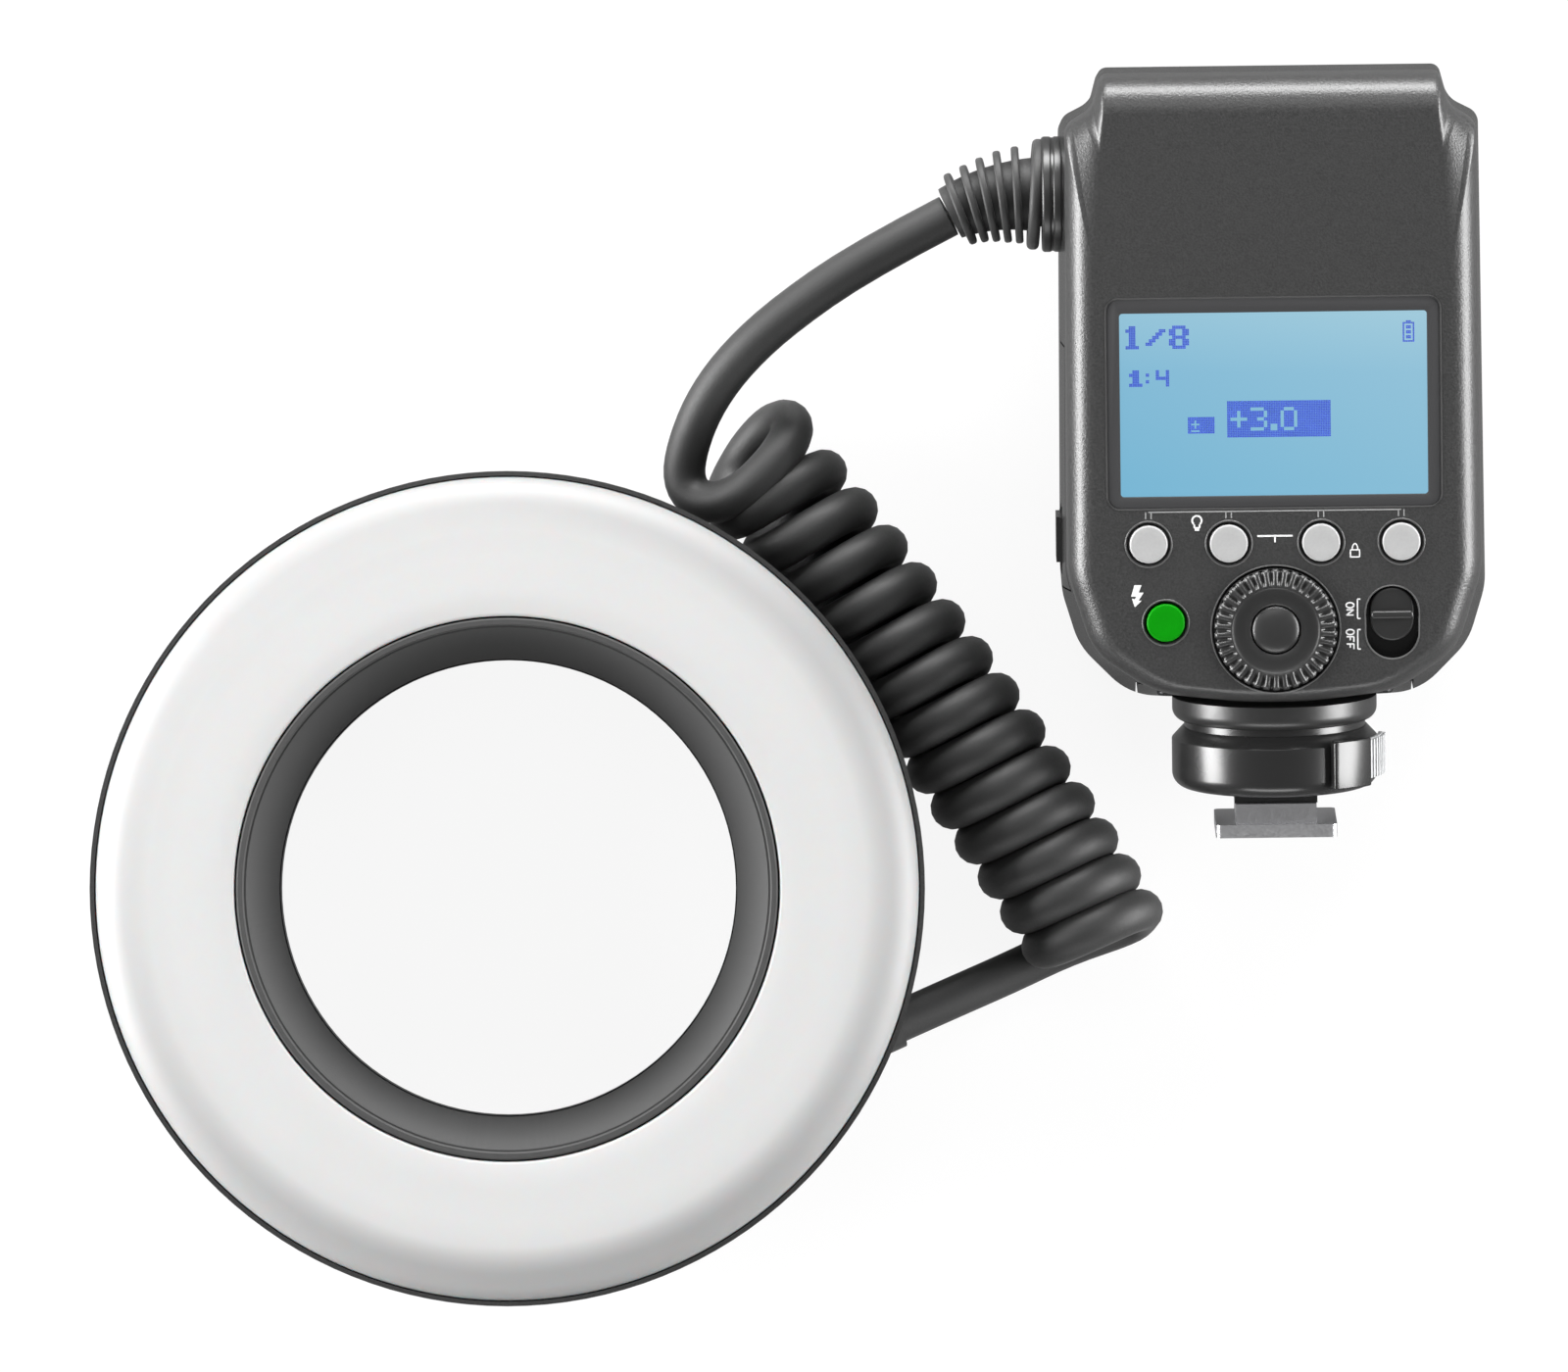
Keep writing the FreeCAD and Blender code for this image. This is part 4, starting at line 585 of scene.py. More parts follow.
spread, low, high = KEY_FLANGE
stem_r, stem_low = KEY_STEM
cap_profile = ([(0, KEY_TOP - KEY_FACE_DROP), (KEY_R * 0.5, KEY_TOP - KEY_FACE_DROP * 0.7)]
               + arc(KEY_R - KEY_EDGE, KEY_TOP - KEY_EDGE, KEY_EDGE, KEY_EDGE, 90, 0, 5)
               + [(KEY_R, high), (KEY_R + spread, high), (KEY_R + spread, low), (stem_r, low),
                  (stem_r, stem_low), (0, stem_low)])
for number, (u, v) in enumerate(KEY_PLACES, 1):
    test = number > len(KEY_U)
    cap = spun("test_key_cap" if test else f"key_cap_{number}", cap_profile, 72)
    cap.data.transform(Matrix.Translation((u, v, 0)))
    node = "test_button" if test else f"key_{number}"
    seat(cap, ON_CONTROLLER, green_cap if test else grey_cap, node,
         [node])


# The display: a black glass plate with its frame printed behind it, let into the panel with a fine
# gap, and the lit screen, on which dark blue cells draw the figures.
GLASS_TOP = 17.95
GLASS_T = 0.9
GLASS_GAP = 0.18
SCREEN = (46.9, 28.2)
SCREEN_V = 68.2
SCREEN_SUNK = 0.35
SCREEN_T = 1.95
SCREEN_EDGE = 1.0
CELL = 0.255


def plain(name, colour, rough, scale=900.0, spread=0.08, **more):
    """A material whose roughness wanders a little at the size of the surface's texture."""
    material = blank(name)
    spot = add(material, "TexCoord").outputs["Object"]
    wander = add(material, "TexNoise", {"Vector": spot, "Scale": scale, "Detail": 2.0})
    shade = add(material, "MapRange", {
        "Value": wander.outputs["Fac"], "To Min": rough - spread, "To Max": rough + spread})
    inputs = {"Base Color": linear(colour), "Roughness": shade.outputs["Result"]}
    inputs.update({key.replace("_", " "): value for key, value in more.items()})
    return finish_with(material, add(material, "BsdfPrincipled", inputs))


black_glass = plain("black_printed_glass", "#363637", 0.25, 40.0, 0.03, IOR=1.5)
glass = plate(rounded(WINDOW_WIDTH - 2 * GLASS_GAP, WINDOW_HEIGHT - 2 * GLASS_GAP,
                      WINDOW_CORNER - GLASS_GAP, 0, WINDOW_V), GLASS_TOP - GLASS_T, GLASS_TOP)
cut_by(glass, [plate(rounded(*SCREEN, 0.5, 0, SCREEN_V), GLASS_TOP - 2, GLASS_TOP + 1)])
applied(glass, "BEVEL", width=0.12, segments=2, limit_method="ANGLE")
glass.name = "display_glass"
seat(glass, ON_CONTROLLER, black_glass, "flash", ["display_window"])

lit_screen = blank("backlit_screen")
# The screen glows with its own backlight. Its glow is painted palest along the top edge and to the right
# and deepest at the lower left: a painted sheen of reflected light lying over the screen.
place = add(lit_screen, "TexCoord").outputs["Object"]
split = add(lit_screen, "SeparateXYZ", {0: place})
rise = add(lit_screen, "MapRange", {"Value": split.outputs["Y"], "From Min": 0.0620, "From Max": 0.0900})
run = add(lit_screen, "MapRange", {"Value": split.outputs["X"], "From Min": 0.0930, "From Max": 0.1410})
painted_sheen_upward = add(lit_screen, "ValToRGB", {"Fac": rise.outputs["Result"]})
painted_sheen_upward.color_ramp.elements[0].color = linear("#74b3d1")
painted_sheen_upward.color_ramp.elements[1].color = linear("#a6cddb")
middle = painted_sheen_upward.color_ramp.elements.new(0.6)
middle.color = linear("#86bad4")
# Brighter to the right: more of the painted sheen.
side = add(lit_screen, "ValToRGB", {"Fac": run.outputs["Result"]})
side.color_ramp.elements[0].color = linear("#78b4d2")
side.color_ramp.elements[1].color = linear("#9cc6d9")
glow_with_painted_sheen = add(lit_screen, "MixRGB", {
    "Fac": 0.4, "Color1": painted_sheen_upward.outputs["Color"], "Color2": side.outputs["Color"]})
finish_with(lit_screen, add(lit_screen, "BsdfPrincipled", {
    "Base Color": linear("#0c1418"), "Roughness": 0.25, "Emission Color": glow_with_painted_sheen.outputs["Color"],
    "Emission Strength": 1.0, "IOR": 1.45}))
screen = plate(rounded(SCREEN[0] + SCREEN_EDGE, SCREEN[1] + SCREEN_EDGE, 0.3, 0, SCREEN_V),
               GLASS_TOP - SCREEN_SUNK - SCREEN_T, GLASS_TOP - SCREEN_SUNK)
screen.name = "lit_screen"
seat(screen, ON_CONTROLLER, lit_screen, "flash", ["lcd_panel"])

dark_cells = mottled("dark_blue_cells", "#26399c", "#3448ac", 500.0, 0.4, 1.0)

FIGURES = {
    "0": (" ### ", "#   #", "#   #", "#   #", "#   #", "#   #", " ### "),
    "1": ("  #  ", " ##  ", "  #  ", "  #  ", "  #  ", "  #  ", " ### "),
    "3": ("#### ", "    #", "    #", "  ## ", "    #", "    #", "#### "),
    "8": (" ### ", "#   #", "#   #", " ### ", "#   #", "#   #", " ### "),
    "+": ("     ", "  #  ", "  #  ", "#####", "  #  ", "  #  ", "     "),
    "/": ("     ", "    #", "   # ", "  #  ", " #   ", "#    ", "     "),
    ".": ("  ", "  ", "  ", "  ", "  ", "##", "##"),
}
RATIO_SIGN = (" ##     #  #", "###  #  #  #", " ##     ####", " ##  #     #", "####       #")
BATTERY_SIGN = ("  ###  ", "#######", "#     #", "# ### #", "# ### #", "#     #", "# ### #", "# ### #",
                "#     #", "# ### #", "# ### #", "#     #", "#######")
PLUS_SIGN = ("  #  ", "  #  ", "#####", "  #  ", "  #  ", "     ", "#####")
POWER_AT = (-22.9, 80.5)
RATIO_AT = (-21.9, 73.7)
BATTERY_AT = (19.9, 80.9)
# The two dark boxes: their top left corners and how many cells they are wide and high.
VALUE_BOX = (-7.0, 68.8, 62, 22)
SIGN_BOX = (-13.0, 66.4, 16, 10)


def cells(rows, left, top, size, swell=1):
    """Corners of the cells that are on in a pattern, from its top left; swell draws each cell larger."""
    squares = []
    for down, row in enumerate(rows):
        for along, sign in enumerate(row):
            if sign == "#":
                for i in range(swell):
                    for k in range(swell):
                        x = left + (along * swell + i) * size
                        squares.append((x, top - (down * swell + k + 1) * size))
    return squares


def written(text, left, top, size, swell, weight=0):
    """The cells of a line of figures; weight repeats each cell to its right for a bolder figure."""
    squares = []
    for sign in text:
        rows = FIGURES[sign]
        for shift in range(weight + 1):
            squares += cells(rows, left + shift * size, top, size, swell)
        left += (len(rows[0]) * swell + swell + weight) * size
    return squares


def filled_box(left, top, columns, rows, light):
    """The dark cells of a box in which some cells stay light."""
    light = {(round(x, 3), round(y, 3)) for x, y in light}
    box = [(left + i * CELL, top - (k + 1) * CELL) for i in range(columns) for k in range(rows)]
    return [(x, y) for x, y in box if (round(x, 3), round(y, 3)) not in light]


dots = written("1/8", *POWER_AT, CELL, 2, 2)
dots += cells(RATIO_SIGN, *RATIO_AT, CELL, 2)
dots += cells(BATTERY_SIGN, *BATTERY_AT, CELL)
dots += filled_box(*VALUE_BOX, written("+3.0", VALUE_BOX[0] + 2 * CELL, VALUE_BOX[1] - 4 * CELL, CELL, 2))
dots += filled_box(*SIGN_BOX, cells(PLUS_SIGN, SIGN_BOX[0] + 2 * CELL, SIGN_BOX[1] - 2 * CELL, CELL))
bpy.ops.object.select_all(action="DESELECT")
bpy.ops.mesh.primitive_plane_add(size=CELL * 0.9)
one_cell = bpy.context.object
shape = bmesh.new()
for x, y in sorted({(round(x, 3), round(y, 3)) for x, y in dots}):
    first = len(shape.verts)
    shape.from_mesh(one_cell.data)
    shape.verts.ensure_lookup_table()
    bmesh.ops.translate(shape, verts=shape.verts[first:], vec=(x, y, GLASS_TOP - SCREEN_SUNK + 0.02))
figures_on = one_cell
shape.to_mesh(figures_on.data)
shape.free()
figures_on.name = "screen_figures"
applied(figures_on, "SOLIDIFY", thickness=0.015, offset=0)
seat(figures_on, ON_CONTROLLER, dark_cells, "flash")


# The knurled dial: black ABS, with ground-in grooves round its sloping rim and a shallow satin dish in
# the middle, where the domed set button sits.
DIAL_R = 9.4
DIAL_TOP = 19.3
DISC_R = 6.7
DISH_R = 5.0
DIAL_BORE = 5.05
DIAL_LOW = 15.3
DIAL_SKIRT = 16.1
DIAL_SIDE = 18.2
DIAL_ROUND = 0.75
GROOVES = 38
GROOVE_STEPS = 12
GROOVE_DEPTH = 0.5
SET_R = 3.65
SET_DOME = 0.95
SET_GAP = 0.2
SET_LOW = 13.7
SET_WELL = 17.9

# Plain smooth moulding with a low satin shine, a shade darker than the textured cover.
satin_black = plain("satin_black_abs", "#232323", 0.35, 900.0, 0.05, IOR=1.53)

dial_edge = [(DIAL_BORE, DIAL_LOW), (DIAL_WELL_R + 0.5, DIAL_LOW), (DIAL_WELL_R + 0.5, DIAL_SKIRT),
             (DIAL_R, DIAL_SKIRT), (DIAL_R, DIAL_SIDE)]
dial_edge += arc(DIAL_R - DIAL_ROUND, DIAL_TOP - 0.85, DIAL_ROUND, DIAL_ROUND, 0, 90, 6)
dial_edge += [(8.2, DIAL_TOP - 0.03), (7.5, DIAL_TOP), (DISC_R + 0.25, DIAL_TOP), (DISC_R, DIAL_TOP - 0.08),
              (DISC_R - 0.2, DIAL_TOP - 0.42), (DISC_R - 0.5, DIAL_TOP - 0.55), (DISH_R, DIAL_TOP - 0.6),
              (SET_R + 0.5, DIAL_TOP - 0.55), (SET_R + SET_GAP, DIAL_TOP - 0.7), (SET_R + SET_GAP, SET_WELL),
              (DIAL_BORE, SET_WELL), (DIAL_BORE, DIAL_LOW)]
rings = []
for radius, height in dial_edge:
    ring = []
    for k in range(GROOVES * GROOVE_STEPS):
        turn = 2 * pi * k / (GROOVES * GROOVE_STEPS)
        dip = (0.5 + 0.5 * cos(GROOVES * turn)) ** 1.5
        depth = GROOVE_DEPTH * dip if DISC_R + 0.5 < radius <= DIAL_R - 0.1 and height > 17.5 else 0.0
        ring.append((radius * cos(turn), DIAL_V + radius * sin(turn), height - depth))
    rings.append(ring)
dial = drawn("knurled_dial", rings, ends=False)
seat(dial, ON_CONTROLLER, satin_black, "select_dial", ["select_dial"], 35)

cap_profile = [(0, SET_LOW), (SET_R, SET_LOW), (SET_R, DIAL_TOP + 0.1 - SET_DOME)]
cap_profile += arc(0, DIAL_TOP + 0.1 - SET_DOME, SET_R, SET_DOME, 0, 90, 10)[1:]
button = spun("set_button_cap", cap_profile, 96)
button.data.transform(Matrix.Translation((0, DIAL_V, 0)))
seat(button, ON_CONTROLLER, satin_black, "set_button", ["set_button"])


# The power switch: a sliding knob in a deep round-ended tray, with a raised ridge for the thumb.
KNOB = (6.8, 8.3)
KNOB_V = 35.6
KNOB_Z = (14.25, 17.75)
RIDGE = (6.4, 1.15)
RIDGE_Z = (17.3, 18.8)


def pillow(width, height, radius, u, v, low, high, roll, steps=16):
    """A closed plate with rounded corners whose upper edge rolls over by a quarter circle."""
    rings = [[(x, y, low) for x, y in outline(rounded(width, height, radius, u, v), steps)]]
    for i in range(6):
        turn = radians(18 * i)
        inset = roll * (1 - cos(turn))
        corners = rounded(width - 2 * inset, height - 2 * inset, radius - inset, u, v)
        rings.append([(x, y, high - roll + roll * sin(turn)) for x, y in outline(corners, steps)])
    return drawn("pillow", rings)


def joined(pieces, name):
    """One object from several closed ones."""
    bpy.ops.object.select_all(action="DESELECT")
    for piece in pieces:
        piece.select_set(True)
    bpy.context.view_layer.objects.active = pieces[0]
    bpy.ops.object.join()
    pieces[0].name = name
    return pieces[0]


knob = joined([pillow(*KNOB, KNOB[0] / 2 - 0.01, SWITCH_AT[0], KNOB_V, *KNOB_Z, 0.4),
               pillow(*RIDGE, 0.5, SWITCH_AT[0], KNOB_V, *RIDGE_Z, 0.3, 6)], "power_knob")


def lip(name, width, height, radius, u, v, size=0.14, steps=16):
    """A fine rounded bead round an opening in the panel."""
    rings = []
    for i in range(9):
        turn = 2 * pi * i / 8
        inset = size * (1 - cos(turn))
        corners = rounded(width - 2 * inset, height - 2 * inset, radius - inset, u, v)
        rings.append([(x, y, PANEL_W - 0.04 + size * sin(turn)) for x, y in outline(corners, steps)])
    return drawn(name, rings, ends=False)


# The switch's and dial's beads take the paler grey of painted highlight; the window's bead is plain satin
# black.
LIPS = (
    # name, material, width, height, corner, middle
    ("window_lip", satin_black, WINDOW_WIDTH + 0.1, WINDOW_HEIGHT + 0.1, WINDOW_CORNER + 0.05, 0, WINDOW_V),
    ("switch_lip", painted_highlight_edge, SWITCH_WELL[0] + 0.1, SWITCH_WELL[1] + 0.1, SWITCH_WELL[0] / 2, *SWITCH_AT),
    ("dial_lip", painted_highlight_edge, 2 * DIAL_WELL_R + 0.1, 2 * DIAL_WELL_R + 0.1, DIAL_WELL_R + 0.04, 0, DIAL_V),
)
for name, material, *shape in LIPS:
    seat(lip(name, *shape), ON_CONTROLLER, material, "flash")
seat(knob, ON_CONTROLLER, satin_black, "power_switch", ["power_switch"])


# The printed marks on the panel: thin pale lines from the screen to the keys, small signs for the lamp,
# the lock and the flash, and ON and OFF beside the switch, all pad-printed in grey ink.
INK_T = 0.03
LINE = 0.27
LINE_V = 51.75
MARK_LOW = PANEL_W - 0.02
MARK_TOP = PANEL_W + INK_T
THIN_LINE = 0.2
LAMP_AT = (-11.9, 50.4)
LOCK_AT = (12.2, 45.6)
BOLT_AT = (-21.2, 38.9)
WORDS = (("ON", 36.5), ("OFF", 31.8))
BRACKET = (12.5, 12.95, 1.5)

ink = mottled("light_grey_ink", "#c6c6c6", "#e0e0e0", 4000.0, 0.55)
# The guide lines from the screen to the keys are thinner, in a darker grey.
guide_ink = mottled("dark_grey_ink", "#767676", "#909090", 4000.0, 0.55)


def printed(name, points):
    """A flat printed shape with a set outline."""
    return drawn(name, [[(x, y, z) for x, y in points] for z in (MARK_LOW, MARK_TOP)])


def stroke(u0, v0, u1, v1, width=LINE):
    """A printed straight stroke between two points."""
    run = Vector((u1 - u0, v1 - v0))
    side = Vector((-run.y, run.x)).normalized() * width / 2
    start, end = Vector((u0, v0)), Vector((u1, v1))
    points = [start - side, start + side, end + side, end - side]
    return printed("stroke", points)


def loop(u, v, size_u, size_v, start=0.0, end=360.0, width=LINE, steps=24):
    """Printed strokes round an arc of an ellipse."""
    turns = [radians(start + (end - start) * i / steps) for i in range(steps + 1)]
    points = []
    for grow, walk in ((width / 2, turns), (-width / 2, turns[::-1])):
        points += [((size_u + grow) * cos(t) + u, (size_v + grow) * sin(t) + v) for t in walk]
    return printed("loop", points)


def path(points, width=LINE):
    """Printed strokes through a row of points."""
    return [stroke(*a, *b, width) for a, b in zip(points, points[1:])]


guides = [stroke(KEY_U[0], LINE_V, KEY_U[-1], LINE_V, THIN_LINE)]
for u in KEY_U:
    for side in (-0.42, 0.42):
        guides.append(stroke(u + side, LINE_V, u + side, KEY_V + WELL_R + 0.3, THIN_LINE))
seat(joined(guides, "guide_lines"), ON_CONTROLLER, guide_ink, "flash")
marks = path([(-2.7, 47.9), (2.7, 47.9)]) + path([(0, 47.9), (0, 46.9)])
u, v = LAMP_AT
marks += [loop(u, v, 0.72, 0.72, -50, 230)]
marks += path([(u - 0.4, v - 0.6), (u - 0.4, v - 1.15), (u + 0.4, v - 1.15), (u + 0.4, v - 0.6)])
marks += path([(u - 0.35, v - 1.45), (u + 0.35, v - 1.45)])
u, v = LOCK_AT
marks += path([(u - 0.7, v - 1.1), (u + 0.7, v - 1.1), (u + 0.7, v), (u - 0.7, v), (u - 0.7, v - 1.2)],
              THIN_LINE)
marks += [loop(u, v + 0.1, 0.42, 0.85, 0, 180, THIN_LINE)]
bolt = [(-0.35, 1.65), (0.75, 1.65), (0.3, 0.5), (1.05, 0.5), (0.25, -0.75), (0.75, -0.75), (-0.3, -1.75),
        (-0.75, -0.4), (-0.3, -0.5), (-0.05, -0.1), (-0.85, -0.1)]
marks.append(printed("bolt", [(x + BOLT_AT[0], y + BOLT_AT[1]) for x, y in bolt]))
near, far, half = BRACKET
for word, v in WORDS:
    marks += path([(far, v + half), (near, v + half), (near, v - half), (far, v - half)], THIN_LINE)
# The words read downwards: a letter's own right is down the panel, and its own top is to the left.
LETTER = 0.95
LETTER_STEP = 1.12
LETTER_LINE = 0.22
LETTER_U = 10.8
LETTER_RISE = 1.1
LETTERS = {
    "N": ((0, 0), (0, 1), (1, 0), (1, 1)),
    "F": ((0, 0), (0, 1), (1, 1)),
}
for word, v in WORDS:
    top = v + len(word) * LETTER_STEP / 2
    for letter in word:
        low = top - LETTER_STEP + 0.17
        middle = LETTER_U + LETTER_RISE / 2
        if letter == "O":
            marks.append(loop(middle, low + LETTER * 0.42, 0.6, 0.4, 3, 357, LETTER_LINE))
        else:
            marks += path([(LETTER_U + LETTER_RISE * y, low + LETTER * 0.85 * (1 - x))
                           for x, y in LETTERS[letter]], LETTER_LINE)
            if letter == "F":
                marks.append(stroke(middle, low + LETTER * 0.8, middle, low + LETTER * 0.25, LETTER_LINE))
        top -= LETTER_STEP
seat(joined(marks, "printed_marks"), ON_CONTROLLER, ink, "flash")


# The foot's turned and moulded round parts: a flange under the body, the neck, and the collar that
# hides the lock lever's ring, with a broad polished bevel round its top.
ON_FOOT = ON_CONTROLLER @ Matrix.Rotation(radians(-90), 4, "X")
FLANGE_R = 15.7
FLANGE_TOP = 21.0
FLANGE_ROLL = 1.8
NECK_R = 13.9
NECK_TOP = 17.3
COLLAR_LOW = 6.9
COLLAR_TOP = 16.3
COLLAR_R = 15.8
COLLAR_BORE = 10.9
COLLAR_ROUND = 2.4
BEVEL_EDGE = 0.4
BEVEL_DOWN = 1.95
BEVEL_IN = 1.85
LEVER_ROOM = (13.3, 9.4, 13.0)
SLOT = (-52.0, -8.0)
SLOT_RS = (12.8, 18.0)

gloss_black = plain("gloss_black_abs", "#1e1e1e", 0.26, 60.0, 0.04, IOR=1.53)

flange = spun("foot_flange", [(0, NECK_TOP), (NECK_R, NECK_TOP)]
              + arc(NECK_R, NECK_TOP + FLANGE_ROLL, FLANGE_R - NECK_R, FLANGE_ROLL, -90, 0, 8)
              + [(FLANGE_R, FLANGE_TOP), (0, FLANGE_TOP)], 160)
seat(flange, ON_FOOT, satin_black, "flash", ["body_flange"])

core = COLLAR_BORE - 0.02
neck = spun("foot_neck_ring", [(0, COLLAR_LOW), (core, COLLAR_LOW), (core, COLLAR_TOP), (NECK_R, COLLAR_TOP),
                               (NECK_R, NECK_TOP), (0, NECK_TOP)], 160)
seat(neck, ON_FOOT, gloss_black, "flash", ["foot_neck"])

room, room_low, room_high = LEVER_ROOM
collar = spun("lock_collar", [
    (COLLAR_BORE, COLLAR_LOW), (COLLAR_R - 3.0, COLLAR_LOW)]
    + arc(COLLAR_R - COLLAR_ROUND, COLLAR_LOW + COLLAR_ROUND, COLLAR_ROUND, COLLAR_ROUND, -90, 0, 8)
    + arc(COLLAR_R - BEVEL_EDGE, COLLAR_TOP - BEVEL_DOWN, BEVEL_EDGE, BEVEL_EDGE, 0, 48, 3)
    + arc(COLLAR_R - BEVEL_IN, COLLAR_TOP - BEVEL_EDGE, BEVEL_EDGE, BEVEL_EDGE, 48, 90, 3)
    + [(COLLAR_BORE, COLLAR_TOP), (COLLAR_BORE, room_high), (room, room_high), (room, room_low),
       (COLLAR_BORE, room_low)], 160)
sweep = [radians(SLOT[0] + (SLOT[1] - SLOT[0]) * i / 12) for i in range(13)]
wedge = [(r * cos(t), r * sin(t)) for r, turns in zip(SLOT_RS, (sweep, sweep[::-1])) for t in turns]
cut_by(collar, [drawn("wedge", [[(x, y, z) for x, y in wedge] for z in (room_low, room_high)])])
seat(collar, ON_FOOT, gloss_black, "flash", ["foot_collar"])


# The lever that turns out of the collar: a gloss block to push and a grey ribbed pad beside it.
# Each is given by its radii, its angles in degrees and its heights on the foot.
BLOCK = (15.9, 17.45, -59.0, -32.6, 7.95, 15.5)
PAD = (15.9, 16.6, -32.4, -1.5, 8.9, 15.1)
PAD_RIBS = 9
RIB_OUT = 0.45


def sector(inner, outer, start, end, low, high, edge=0.25):
    """A block bent round the foot's axis between two angles, with softened edges."""
    turns = [radians(start + (end - start) * i / 10) for i in range(11)]
    points = [(inner * cos(t), inner * sin(t)) for t in turns]
    points += [(outer * cos(t), outer * sin(t)) for t in turns[::-1]]
    piece = drawn("sector", [[(x, y, low) for x, y in points], [(x, y, high) for x, y in points]])
    return applied(piece, "BEVEL", width=edge, segments=3, limit_method="ANGLE", angle_limit=radians(40))


block = sector(*BLOCK, 0.35)
block.name = "lever_block"
seat(block, ON_FOOT, gloss_black, "lock_lever")
ribbed = [sector(*PAD, 0.12)]
step = (PAD[3] - PAD[2]) / PAD_RIBS
for i in range(PAD_RIBS):
    start = PAD[2] + (i + 0.28) * step
    ribbed.append(sector(PAD[1] - 0.2, PAD[1] + RIB_OUT, start, start + 0.5 * step,
                         PAD[4] + 0.1, PAD[5] - 0.1, 0.1))
grip = mottled("grey_ribbed_grip", "#8f9091", "#b4b5b6", 900.0, 0.45)
seat(joined(ribbed, "lever_grip"), ON_FOOT, grip, "lock_lever", ["lever_pad"])


# The two small screws that hold the base cover, sunk in its gloss underside.
BASE_SCREWS = ((-16.5, 6.4), (16.5, 6.4))
SCREW_HEAD = [(0, 22.3), (0.5, 22.3), (0.6, 22.0), (1.2, 21.95), *arc(1.2, 22.35, 0.4, 0.4, -90, 0, 4),
              (1.6, 22.6), (0.9, 22.6), (0.9, 24.0), (0, 24.0)]

blackened = plain("blackened_steel", "#2a2a2b", 0.4, 1500.0, 0.1, Metallic=0.8)
screws = []
for u, w in BASE_SCREWS:
    head = spun("head", SCREW_HEAD, 32)
    head.data.transform(Matrix.Translation((u, -w, 0)))
    screws.append(head)
seat(joined(screws, "sunk_screws"), ON_FOOT, blackened, "flash", ["base_screws"])


# The strain relief: a round flange against the housing's boss, then five soft ribs on a tapering
# sleeve that bends with the cord, all one rubber moulding.
RELIEF_AT = Vector((-36.7, 98.3, -3.0))
RELIEF_BEND = 28.0
BOSS_R = 8.7
RELIEF_DISC_R = 8.5
RIB_PLACES = (1.9, 4.2, 6.45, 8.65, 10.9)
RIB_RS = (7.45, 7.1, 6.6, 6.15, 5.8)
SLEEVE_END = 12.6
BOSS_RINGS = (3.45, 5.1)
BOSS_RING_T = 1.65


def relief_spot(turn):
    """The point of the sleeve's bent axis after a turn."""
    return RELIEF_AT + Vector((-RELIEF_BEND * sin(turn), -RELIEF_BEND * (1 - cos(turn)), 0))


def along_relief(piece, distance):
    """Turns a piece made about Z so that it stands on the sleeve's bent axis, Z pointing outwards."""
    turn = distance / RELIEF_BEND
    heading = Matrix.Rotation(turn, 4, "Z") @ Matrix.Rotation(radians(-90), 4, "Y")
    piece.data.transform(Matrix.Translation(relief_spot(turn)) @ heading)
    return piece


def disc(name, radius, thick, bore=0.0, edge=0.5):
    """A thin round disc with a soft rim, from zero up."""
    return spun(name, [(bore, 0)] + arc(radius - edge, edge, edge, edge, -90, 0, 5)
                + arc(radius - edge, thick - edge, edge, edge, 0, 90, 5) + [(bore, thick)], 96)


soft = [along_relief(disc("relief_disc", RELIEF_DISC_R, 1.9, 0.0, 0.8), -1.85)]
for distance, radius in zip(RIB_PLACES, RIB_RS):
    soft.append(along_relief(disc("rib", radius, 1.2, 0.0, 0.42), distance - 0.6))
rings = []
for i in range(9):
    distance = -1.0 + (SLEEVE_END + 1.0) * i / 8
    turn = distance / RELIEF_BEND
    radius = 5.6 - 0.115 * distance
    rings.append([relief_spot(turn)
                  + Matrix.Rotation(turn, 3, "Z") @ Vector((0, radius * cos(t), radius * sin(t)))
                  for t in [2 * pi * k / 48 for k in range(48)]])
soft.append(drawn("sleeve", rings))
tail = spun("tail", [(0, -9.0), (4.95, -9.0), (4.95, -0.5), (0, -0.5)], 48)
soft.append(along_relief(tail, 0.0))
boss_rings = []
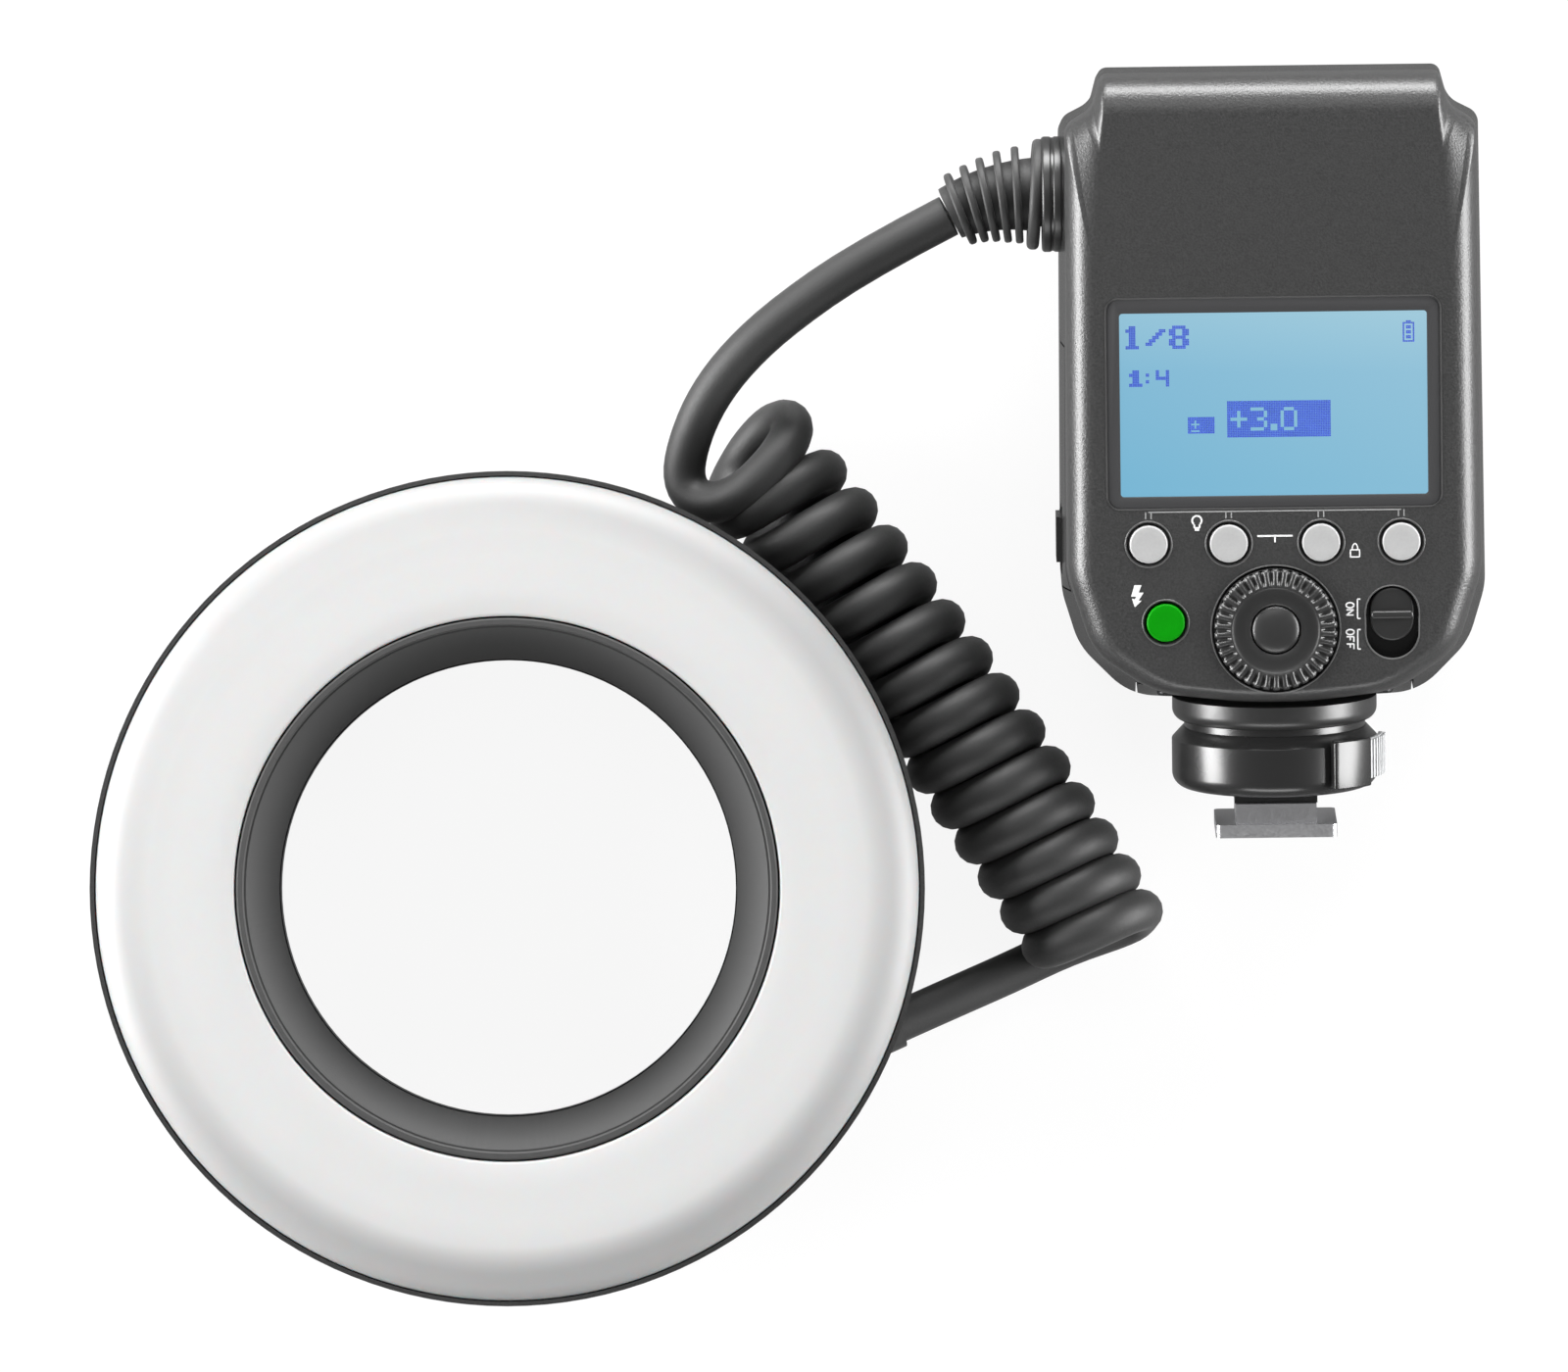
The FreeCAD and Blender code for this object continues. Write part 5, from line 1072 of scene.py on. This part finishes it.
for near in BOSS_RINGS:
    ring = disc("boss_ring", BOSS_R + 0.15, BOSS_RING_T)
    ring.data.transform(Matrix.Translation(RELIEF_AT + Vector((near, 0, 0)))
                        @ Matrix.Rotation(radians(-90), 4, "Y"))
    boss_rings.append(ring)
seat(joined(boss_rings, "relief_boss_rings"), ON_CONTROLLER, satin_black, "flash")
seat(joined(soft, "relief_moulding"), ON_CONTROLLER, rubber, "flash", ["strain_relief"])


# The rest of the product keeps its CAD solids, each with the material of the real piece.
dark_metal = plain("blasted_foot_alloy", "#c0c0c2", 0.42, 2600.0, 0.12, Metallic=1.0)
steel = plain("zinc_plated_steel", "#8f9092", 0.28, 1500.0, 0.1, Metallic=1.0)
brass = plain("gold_plated_contact", "#c9a45c", 0.25, 1500.0, 0.08, Metallic=1.0)
silver = plain("vacuum_coated_reflector", "#e2e3e4", 0.14, 700.0, 0.05, Metallic=1.0)
anodised = plain("black_anodised_alloy", "#1b1c1e", 0.35, 3000.0, 0.08, Metallic=0.7)
solder_mask = plain("green_solder_mask", "#14532f", 0.32, 500.0, 0.06)
inner_black = plain("unpainted_black_nylon", "#1c1c1c", 0.55, 1200.0, 0.08)
sleeve = plain("blue_black_sleeve", "#1a2030", 0.35, 900.0, 0.06)
lamp_white = plain("white_lamp_resin", "#e8e6d6", 0.3, 900.0, 0.06)
borosilicate = plain("flash_tube_glass", "#f2f6f7", 0.05, 300.0, 0.02, Transmission_Weight=1.0, IOR=1.47)

DRESSED = (
    (gloss_black, "front_cover base_cover lock_lever foot_block battery_pack "
                  "battery_latch switch_bed adapter_latch_left adapter_latch_right"),
    (rubber, "port_cover ring_gland"),
    (textured, "ring_rear_shell"),
    (dark_metal, "foot_plate"),
    (steel, "housing_screws ring_screws latch_pins lock_pin"),
    (brass, "battery_contacts foot_contacts"),
    (silver, "ring_reflector"),
    (anodised, "adapter_ring"),
    (solder_mask, "ring_board control_board main_board"),
    (inner_black, "cable_clamp dial_encoder panel_switches port_sockets foot_insert transformer "
                  "tube_end_caps"),
    (sleeve, "flash_capacitor"),
    (lamp_white, "model_leds"),
    (borosilicate, "flash_tube_a flash_tube_b"),
)
for material, names in DRESSED:
    for name in names.split():
        nodes[name].material_slots[0].material = material
